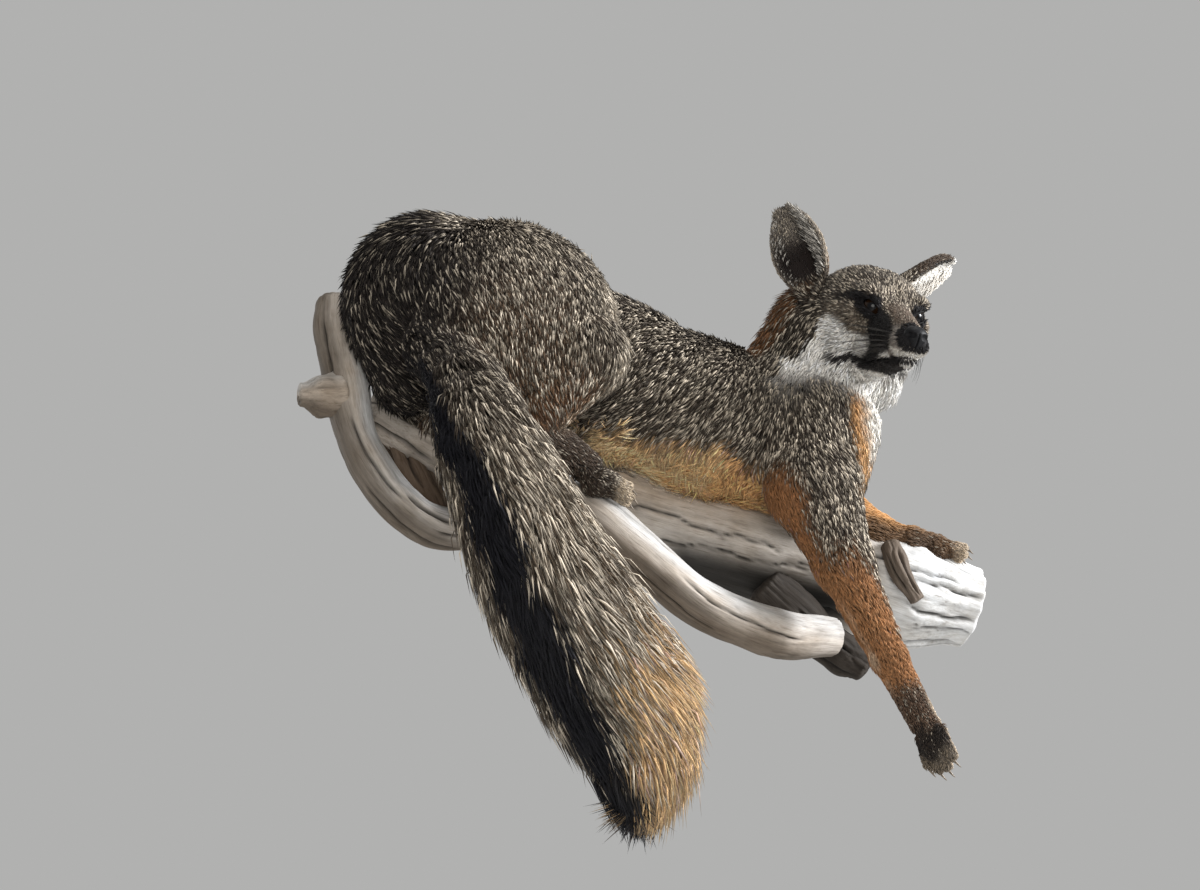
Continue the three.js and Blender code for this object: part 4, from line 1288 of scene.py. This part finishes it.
def make_limb(name, stops, seed, ripple, sides, rings, tint, flatten=1.0, cracks=(), ends=(0.35, 0.35),
              rough=1.0, slot="driftwood", frayed=0.0):
    """One weathered limb. `stops` are [x, y, z, radius], and `cracks` are (angle, turn, start, stop,
    width, depth) along it."""
    centre, radius, tangent, across, other = limb_line(stops, rings)
    walked = np.concatenate([[0], np.cumsum(np.linalg.norm(np.diff(centre, axis=0), axis=1))])
    # Rows around the limb as (ring, scale, push along it), with a rounded cap at each end.
    turns = [k / CAP_ROWS * math.pi / 2 for k in range(1, CAP_ROWS + 1)]
    caps = [(max(math.cos(turn), 0.02), math.sin(turn)) for turn in turns]
    rows = [(0, shrink, -ends[0] * rise) for shrink, rise in reversed(caps)]
    rows += [(i, 1.0, 0.0) for i in range(rings + 1)]
    rows += [(rings, shrink, ends[1] * rise) for shrink, rise in caps]
    ring, scale, push = (np.array(column) for column in zip(*rows))
    scale, push = scale[:, None], push[:, None] * radius[ring][:, None]
    angle = np.linspace(0, 2 * np.pi, sides, endpoint=False)[None, :]
    t = ring[:, None] / rings
    lobes = 1 + ripple * (np.sin(3 * angle + 7 * t) + 0.6 * np.sin(2 * angle - 11 * t))
    lobes = lobes + frayed * ramp(0.8, 1.0, t) * np.sin(12 * angle + 2.5 * np.sin(2 * angle))
    reach = radius[ring][:, None] * lobes
    s = walked[ring][:, None] + push
    local = np.stack([np.cos(angle) * reach * scale, np.sin(angle) * reach * scale, s + 0 * angle], -1)
    local = local.reshape(-1, 3)
    grain = local * (1, 1, 0.075)
    twisted = grain + np.stack([3 * (lattice_noise(local, 38, seed) - 0.5)] * 3, 1)
    groove = 1 - np.abs(2 * lattice_noise(twisted, 4.2, seed + 1) - 1)
    fine = 1 - np.abs(2 * lattice_noise(twisted, 1.7, seed + 2) - 1)
    dents = lattice_noise(local, 24, seed + 3) - 0.5
    on_cap = 1 - scale.repeat(sides, 1).reshape(-1)
    depth = (-0.6 * groove ** 6 - 0.3 * fine ** 4 + 2.6 * dents) * rough
    pits = ramp(0.63, 0.78, lattice_noise(local, 3.4, seed + 4)) * ramp(0.05, 0.4, on_cap)
    depth -= 1.3 * pits
    split = np.zeros(len(depth))
    flat_angle = (angle + 0 * s).reshape(-1)
    flat_s = (s + 0 * angle).reshape(-1)
    flat_reach = (reach + 0 * s).reshape(-1)
    for at, turning, start, stop, wide, deep in cracks:
        wander = 0.035 * np.sin(flat_s / 11.0 + at * 5) + 0.018 * np.sin(flat_s / 3.7 + at)
        away = flat_angle - at - turning * (flat_s - start) / 100 - wander
        gap = np.angle(np.exp(1j * away)) * flat_reach
        fade = ramp(start, start + 14, flat_s) * ramp(stop, stop - 14, flat_s)
        open_by = wide * (0.35 + 0.65 * fade)
        cut = np.exp(-(gap / open_by) ** 2) * fade
        depth -= deep * cut
        split = np.maximum(split, cut)
    way = (np.cos(angle)[..., None] * flatten * across[ring][:, None]
           + np.sin(angle)[..., None] * other[ring][:, None])
    out = way.reshape(-1, 3)
    base = centre[ring][:, None] + tangent[ring][:, None] * push[..., None]
    places = (base + way * (reach * scale)[..., None]).reshape(-1, 3)
    along = np.repeat(tangent[ring], sides, 0) * np.repeat(np.sign(push), sides, 0).reshape(-1, 1)
    lean = np.clip(on_cap, 0, 1)[:, None]
    outward = out * (1 - lean) + along * lean
    places = places + outward * np.maximum(depth, -0.75 * flat_reach)[:, None]
    places[:, 1] = np.minimum(places[:, 1], WALL)
    mesh = bpy.data.meshes.new(name)
    mesh.from_pydata((places * MM).tolist(), [], tube_faces(len(rows), sides))
    mesh.shade_smooth()
    broad = lattice_noise(local * (1, 1, 0.35), 26, seed + 5)[:, None]
    tone = tint(places, ASHEN * (1 - broad) + TAN * broad, out)
    # Darker in the grooves, pits and cracks.
    hollow_dark = (0.24 * groove ** 4 + 0.16 * fine ** 3 + 0.5 * pits)[:, None]
    tone = tone * (1 - np.clip(hollow_dark, 0, 0.75)) * (1 - 0.9 * split[:, None])
    colour_points(mesh, "wood", np.clip(tone, 0.004, 0.9))
    lengthwise = mesh.attributes.new("grain", "FLOAT_VECTOR", "POINT")
    lengthwise.data.foreach_set("vector", (grain * MM).astype(np.float32).ravel())
    place_piece(name, mesh, wood_material, slot, "driftwood_" + name)


def wood_shader():
    shader = Shader("driftwood", 0.82, Specular_IOR_Level=0.25)
    along = shader.attribute("grain", "Vector")
    strands = shader.noise(along, 700, 5, 0.6)
    fibre = shader.noise(along, 2200, 3, 0.6)
    mottle = shader.noise(shader.object_coordinates(), 38, 5)
    lines = shader.ramp(strands, (0.30, (0.62, 0.59, 0.56)), (0.46, (0.95, 0.95, 0.95)),
                        (0.8, (1.0, 1.0, 1.0)))
    thin = shader.ramp(fibre, (0.30, (0.80, 0.79, 0.78)), (0.65, (1.0, 1.0, 1.0)))
    patches = shader.ramp(mottle, (0.35, (0.78, 0.75, 0.71)), (0.62, (1.0, 1.0, 1.0)))
    shader.colour(shader.product(shader.attribute("wood"), lines, thin, patches))
    shader.roughness(strands, 0.95, 0.68)
    shader.bump(strands, 0.6, 0.0006)
    return shader.material


wood_material = wood_shader()


def log_tint(places, tone, out):
    """Pale silver at the broken right-hand end, partly bleached wood and partly painted highlight from the
    window, and nearly black below, where it meets the branch: painted shade in the gap.
    """
    x, z = places[:, 0], places[:, 2]
    # Partly bleached wood, partly painted highlight: pale silver towards the end that faces the window.
    end = ramp(150, 190, x)[:, None]
    sawn = np.clip(out @ unit([0.9, 0.2, 0.1]), 0, 1)[:, None]
    tone = tone * (1 - end) + SILVER * 0.92 * end * (1 - 0.5 * sawn)
    # Painted shade: nearly black under the log, in the gap above the branch.
    under = ramp(-22, -34, z + 1 + 0.21 * x) * ramp(0, 35, x) * ramp(172, 145, x)
    return tone * (1 - 0.95 * under[:, None])


def window_light_tint(places, tone, out):
    """Painted highlight in pale silver along the side that faces the window, and painted shade, darker and
    browner, below.
    """
    facing = out @ unit([0.75, -0.25, 0.6]) + 0.5 * (lattice_noise(places, 30, 61) - 0.5)
    # Painted highlight on the side towards the window, painted shade on the side away from it.
    painted_light = ramp(0.15, 0.75, facing)[:, None] * 0.85
    shade = ramp(0.2, -0.5, facing)[:, None]
    tone = tone * (1 - painted_light) + SILVER * 0.74 * painted_light
    return tone * (1 - shade * np.array([0.64, 0.66, 0.68]))


def darkening(*tone_scale):
    """A tint that darkens the wood all over: painted shade on the stub and the slab, and a darker tone on
    the bark.
    """
    return lambda places, tone, out: tone * np.array(tone_scale)


DETAIL = 1       # divides the rows and sides of the limbs
make_limb("log", [
    [-180, -46, 57, 20], [-140, -41, 42, 27], [-80, -36, 20, 33], [0, -34, -1, 37],
    [80, -35, -17, 38], [150, -39, -34, 36], [202, -45, -52, 40], [254, -53, -65, 29],
], 21, 0.04, 132 // DETAIL, 230 // DETAIL, flatten=1.2, cracks=[
    (3.5, 0.10, 150, 300, 1.0, 3.0), (4.0, -0.12, 200, 330, 0.9, 2.6), (2.9, 0.1, 60, 190, 0.9, 2.5),
    (3.2, 0.0, 330, 440, 1.2, 4.0), (4.6, 0.1, 340, 450, 1.3, 4.5), (2.4, -0.1, 360, 455, 1.0, 3.5),
    (5.3, 0.0, 380, 455, 1.1, 3.5), (3.9, 0.15, 395, 458, 1.2, 4.0), (2.9, 0.1, -10, 60, 1.4, 5.0),
    (3.6, 0.1, -15, 45, 1.3, 5.0), (4.3, 0, -12, 50, 1.2, 4.0), (2.7, 0.25, 385, 458, 0.7, 3.0),
    (3.5, -0.25, 375, 458, 0.8, 3.2), (4.2, 0.2, 400, 460, 0.8, 3.0), (4.9, -0.2, 392, 458, 0.8, 3.0),
    (3.7, 0.35, 300, 380, 0.6, 2.0), (4.35, -0.3, 345, 420, 0.6, 2.2),
], ends=(0.25, 0.22), tint=log_tint, frayed=0.035)
make_limb("branch", [
    [-104, -62, 18, 20], [-62, -104, -30, 16], [-28, -116, -64, 16], [16, -112, -95, 16.5],
    [72, -96, -106, 16], [128, -72, -100, 14],
], 33, 0.05, 84 // DETAIL, 170 // DETAIL, cracks=[
    (3.3, 0.25, 150, 262, 0.8, 3.2), (2.6, -0.2, 60, 150, 0.7, 2.0), (4.4, 0.1, 110, 200, 0.7, 2.0),
    (3.9, 0.3, 30, 110, 0.7, 2.0),
], tint=window_light_tint)
# The stub is painted almost black: painted shade in the dark gap under the log.
make_limb("stub", [
    [96, -50, -58, 17], [122, -52, -84, 17], [146, -56, -104, 15], [160, -60, -116, 11],
], 45, 0.06, 84 // DETAIL, 70 // DETAIL, cracks=[(3.4, 0.3, 20, 80, 0.9, 3.5), (4.6, 0, 40, 90, 0.8, 3)],
    rough=1.7, tint=darkening(0.085, 0.078, 0.073), slot="dark_driftwood")
make_limb("upright", [
    [-213, -66, 118, 13], [-213, -66, 98, 14], [-207, -66, 62, 15.5], [-198, -66, 20, 14],
    [-174, -58, -12, 13.5], [-141, -46, -27, 15], [-96, -34, -20, 15],
], 57, 0.05, 80 // DETAIL, 180 // DETAIL, cracks=[
    (3.9, 0.12, 8, 70, 0.8, 3.6), (3.4, -0.1, 80, 150, 1.0, 4.0), (4.3, 0.2, 120, 200, 0.9, 4.0),
    (2.9, 0.2, 140, 190, 1.4, 5.5), (3.6, 0, 170, 260, 0.8, 2.8),
], ends=(0.8, 0.3), rough=1.25, tint=window_light_tint)
# The slab is painted darker: painted shade, where it sits in shadow between the log and the upright.
make_limb("slab", [[-168, -34, 50, 17], [-154, -32, 12, 18], [-138, -32, -20, 15]],
          83, 0.05, 84 // DETAIL, 60 // DETAIL, rough=1.8,
          cracks=[(2.6, 0, 5, 70, 1.2, 4.0), (3.3, 0, 10, 60, 1.0, 3.5), (4.0, 0, 0, 66, 1.2, 4.0)],
          tint=darkening(0.30, 0.24, 0.195), slot="dark_driftwood")
make_limb("knob", [[-211, -68, 51, 15], [-223, -69, 49, 14], [-236, -69, 48, 9]],
          69, 0.05, 80 // DETAIL, 36 // DETAIL, rough=1.5,
          cracks=[(3.2, 0, 4, 24, 0.9, 2.6), (4.2, 0.4, 6, 26, 0.8, 2.6)], tint=window_light_tint)
make_limb("bark", [[176, -90, -36, 6], [180, -92, -56, 9], [190, -92, -76, 6]],
          71, 0.05, 72 // DETAIL, 60 // DETAIL, rough=1.8,
          cracks=[(3.0, 0.3, 2, 44, 1.6, 5.0), (4.4, -0.2, 5, 40, 0.8, 3.0)], tint=darkening(0.30, 0.27, 0.25))


# ---- eyes, nose, claws and whiskers

def add_piece(name, places, faces, material, slot, *nodes, values=None):
    """A piece from places in mm, with numbers at each vertex for its material to read."""
    mesh = bpy.data.meshes.new(name)
    mesh.from_pydata((np.asarray(places) * MM).tolist(), [], faces)
    mesh.shade_smooth()
    for key, numbers in (values or {}).items():
        mesh.attributes.new(key, "FLOAT", "POINT").data.foreach_set("value", np.asarray(numbers, np.float32))
    return place_piece(name, mesh, material, slot, *nodes)


def eye_shader():
    shader = Shader("eye", 0.25, Coat_Weight=0.22, Coat_Roughness=0.02, Specular_IOR_Level=0.1)
    ring = shader.attribute("gaze", "Fac")
    streaks = shader.noise(shader.attribute("spoke", "Fac"), 60, 2)
    iris = shader.ramp(
        ring, (0.0, (0.002, 0.002, 0.003)), (0.26, (0.002, 0.002, 0.003)), (0.30, (0.012, 0.006, 0.003)),
        (0.55, (0.022, 0.010, 0.004)), (0.68, (0.008, 0.005, 0.004)), (1.0, (0.004, 0.004, 0.005)))
    vary = shader.ramp(streaks, (0.3, (0.55, 0.55, 0.55)), (0.7, (1.0, 1.0, 1.0)))
    shader.colour(shader.product(iris, vary))
    return shader.material


eye_material = eye_shader()
turns, bands = 64, 40
for name, centre in EYES.items():
    look, inner, _ = LIDS[name]
    look = unit(look + 0.10 * inner)
    theta = np.linspace(0, np.pi, bands)[:, None]
    phi = np.linspace(0, 2 * np.pi, turns, endpoint=False)[None, :]
    bulge = EYE_RADIUS + 0.55 * ramp(0.75, 0.2, theta)
    side_a = unit(inner - look * (inner @ look))
    side_b = np.cross(look, side_a)
    ball = (centre + (bulge * np.cos(theta) + 0 * phi)[..., None] * look
            + (bulge * np.sin(theta) * np.cos(phi))[..., None] * side_a
            + (bulge * np.sin(theta) * np.sin(phi))[..., None] * side_b).reshape(-1, 3)
    grid = np.arange(bands * turns).reshape(bands, turns)
    right = np.roll(grid, -1, 1)
    faces = np.stack([grid[:-1], grid[1:], right[1:], right[:-1]], -1).reshape(-1, 4)[turns:-turns].tolist()
    faces += [[grid[1, k], grid[1, (k + 1) % turns], grid[0, 0]] for k in range(turns)]
    faces += [[grid[-2, (k + 1) % turns], grid[-2, k], grid[-1, 0]] for k in range(turns)]
    faces = [[int(i) for i in face] for face in faces]
    gaze = (theta + 0 * phi).ravel() / 1.3
    spoke = (np.abs(phi - np.pi) + 0 * theta).ravel()
    piece = add_piece("eyeball_" + name, ball, faces, eye_material, "glass_eye", "eye_" + name,
                      values={"gaze": np.clip(gaze, 0, 1), "spoke": spoke})
    work = bmesh.new()
    work.from_mesh(piece.data)
    bmesh.ops.delete(work, geom=[v for v in work.verts if not v.link_faces], context="VERTS")
    bmesh.ops.recalc_face_normals(work, faces=work.faces)
    work.to_mesh(piece.data)
    work.free()


def nose_field(f, l, u):
    """The leathery pad, with nostrils that curl out to the sides."""
    side = np.abs(l)
    pad = np.sqrt(((f - 52) / 6.6) ** 2 + (l / 8.1) ** 2 + ((u + 14.6) / 6.3) ** 2)
    body = (pad - 1) * 6.4
    chin = np.sqrt(((f - 52.5) / 5) ** 2 + (l / 4.6) ** 2 + ((u + 19.5) / 4.0) ** 2)
    body = soft_min(body, (chin - 1) * 4.3, 2.5)
    for nostril in chain((58.2, 3.9, -14.8, 1.9), (55.6, 6.4, -15.0, 1.6), (53.0, 8.6, -17.6, 0.8)):
        body = -soft_min(-body, nostril(f, side, u), 0.9)
    cleft = np.maximum(side - 0.4, np.maximum(-(body + 1.0), u + 13.5))
    return -soft_min(-body, cleft, 0.6)


def nose_shader():
    shader = Shader("nose", 0.42, Specular_IOR_Level=0.12, Coat_Weight=0.02, Coat_Roughness=0.3)
    voronoi = shader.node("ShaderNodeTexVoronoi")
    voronoi.inputs["Scale"].default_value = 1300
    shader.link(shader.object_coordinates(), voronoi.inputs["Vector"])
    cells = voronoi.outputs["Distance"]
    shader.colour(shader.ramp(cells, (0.0, (0.010, 0.010, 0.011)), (0.7, (0.004, 0.004, 0.005))))
    shader.roughness(cells, 0.33, 0.62)
    shader.bump(cells, 0.3, 0.0002)
    return shader.material


step = 0.42
nf, nl, nu = (np.arange(low, high, step) for low, high in ((43, 61), (-10.5, 10.5), (-25.5, -6)))
pad, quads = surface_net(nose_field(nf[:, None, None], nl[None, :, None], nu[None, None, :]), nf, nl, nu)
pad = FACE + pad @ HEAD
add_piece("nose_pad", pad, quads.tolist(), nose_shader(), "nose_leather", "nose")


def tube(line, radii, sides):
    """A tapered tube along a line, closed at both ends."""
    way = unit_rows(np.gradient(line, axis=0))
    a = unit_rows(np.cross(way, (0.3, 0.2, 1.0)))
    b = np.cross(way, a)
    angle = np.linspace(0, 2 * np.pi, sides, endpoint=False)[None, :, None]
    ring = line[:, None] + radii[:, None, None] * (np.cos(angle) * a[:, None] + np.sin(angle) * b[:, None])
    return ring.reshape(-1, 3), tube_faces(len(line), sides)


def join_tubes(tubes):
    places, faces, start = [], [], 0
    for points, quads in tubes:
        places.append(points)
        faces += [[i + start for i in quad] for quad in quads]
        start += len(points)
    return np.concatenate(places), faces


def claw_shader():
    shader = Shader("claw", 0.38, Specular_IOR_Level=0.45)
    streak = shader.noise(shader.object_coordinates(), 700, 4)
    shader.colour(shader.ramp(streak, (0.3, (0.035, 0.024, 0.017)), (0.55, (0.13, 0.10, 0.07)),
                              (0.8, (0.30, 0.25, 0.19))))
    shader.roughness(streak, 0.3, 0.5)
    shader.bump(streak, 0.2, 0.0002)
    return shader.material


def whisker_shader():
    shader = Shader("whisker", 0.4)
    tone = shader.noise(shader.object_coordinates(), 300, 2)
    shader.colour(shader.ramp(tone, (0.3, (0.006, 0.006, 0.006)), (0.7, (0.03, 0.027, 0.024))))
    return shader.material


# Which way each foot's claws curl.
CLAW_DROP = {"paw_right": (0.6, -0.2, -0.4), "paw_left": (0.1, -0.1, -1),
             "foot_right": (0.1, -0.1, -1), "foot_left": (0.1, 0, -1)}
claws = []
for name, digits in TOES.items():
    for knuckle, end, radius in digits:
        way = unit(end - knuckle)
        drop = unit(CLAW_DROP[name])
        t = np.linspace(0, 1, 9)[:, None]
        line = end + way * (1.5 + 6.2 * t) + drop * (4.0 * t ** 2) - drop * 1.0
        claws.append(tube(line, 1.45 * (1 - t[:, 0]) ** 0.7 + 0.12, 10))
claw_places, claw_faces = join_tubes(claws)
add_piece("claws", claw_places, claw_faces, claw_shader(), "claw")

whiskers = []
for mirror in (-1, 1):
    for row in range(5):
        for k in range(4):
            root = np.array([40 - 5.2 * k + rng.uniform(-0.8, 0.8), 10.2 + 0.7 * k, -15.5 - 2.6 * row])
            size = rng.uniform(34, 52) * (1 - 0.06 * k)
            t = np.linspace(0, 1, 12)[:, None]
            out = np.array([-0.80, 0.56, 0.10 - 0.09 * row])
            bend = np.array([-0.35, -0.12, -0.10 - 0.02 * row])
            line = root + size * (t * out + t ** 2 * bend * 0.7)
            line[:, 1] *= mirror
            whiskers.append(tube(FACE + line @ HEAD, 0.19 * (1 - t[:, 0]) + 0.05, 5))
whisker_places, whisker_faces = join_tubes(whiskers)
add_piece("whiskers", whisker_places, whisker_faces, whisker_shader(), "whisker")


# ---- floor

def floor_shader():
    shader = Shader("floor", 0.9)
    soft = shader.noise(shader.object_coordinates(), 1.5, 2)
    shader.colour(shader.ramp(soft, (0.3, (0.70, 0.69, 0.67)), (0.7, (0.74, 0.73, 0.71))))
    return shader.material


ground = bpy.data.meshes.new("floor")
corners = [(x * FLOOR_HALF, y * FLOOR_HALF, FLOOR) for x, y in ((-1, -1), (1, -1), (1, 1), (-1, 1))]
ground.from_pydata(corners, [], [(0, 1, 2, 3)])
ground.materials.append(floor_shader())
floor = bpy.data.objects.new("floor", ground)
scene.collection.objects.link(floor)
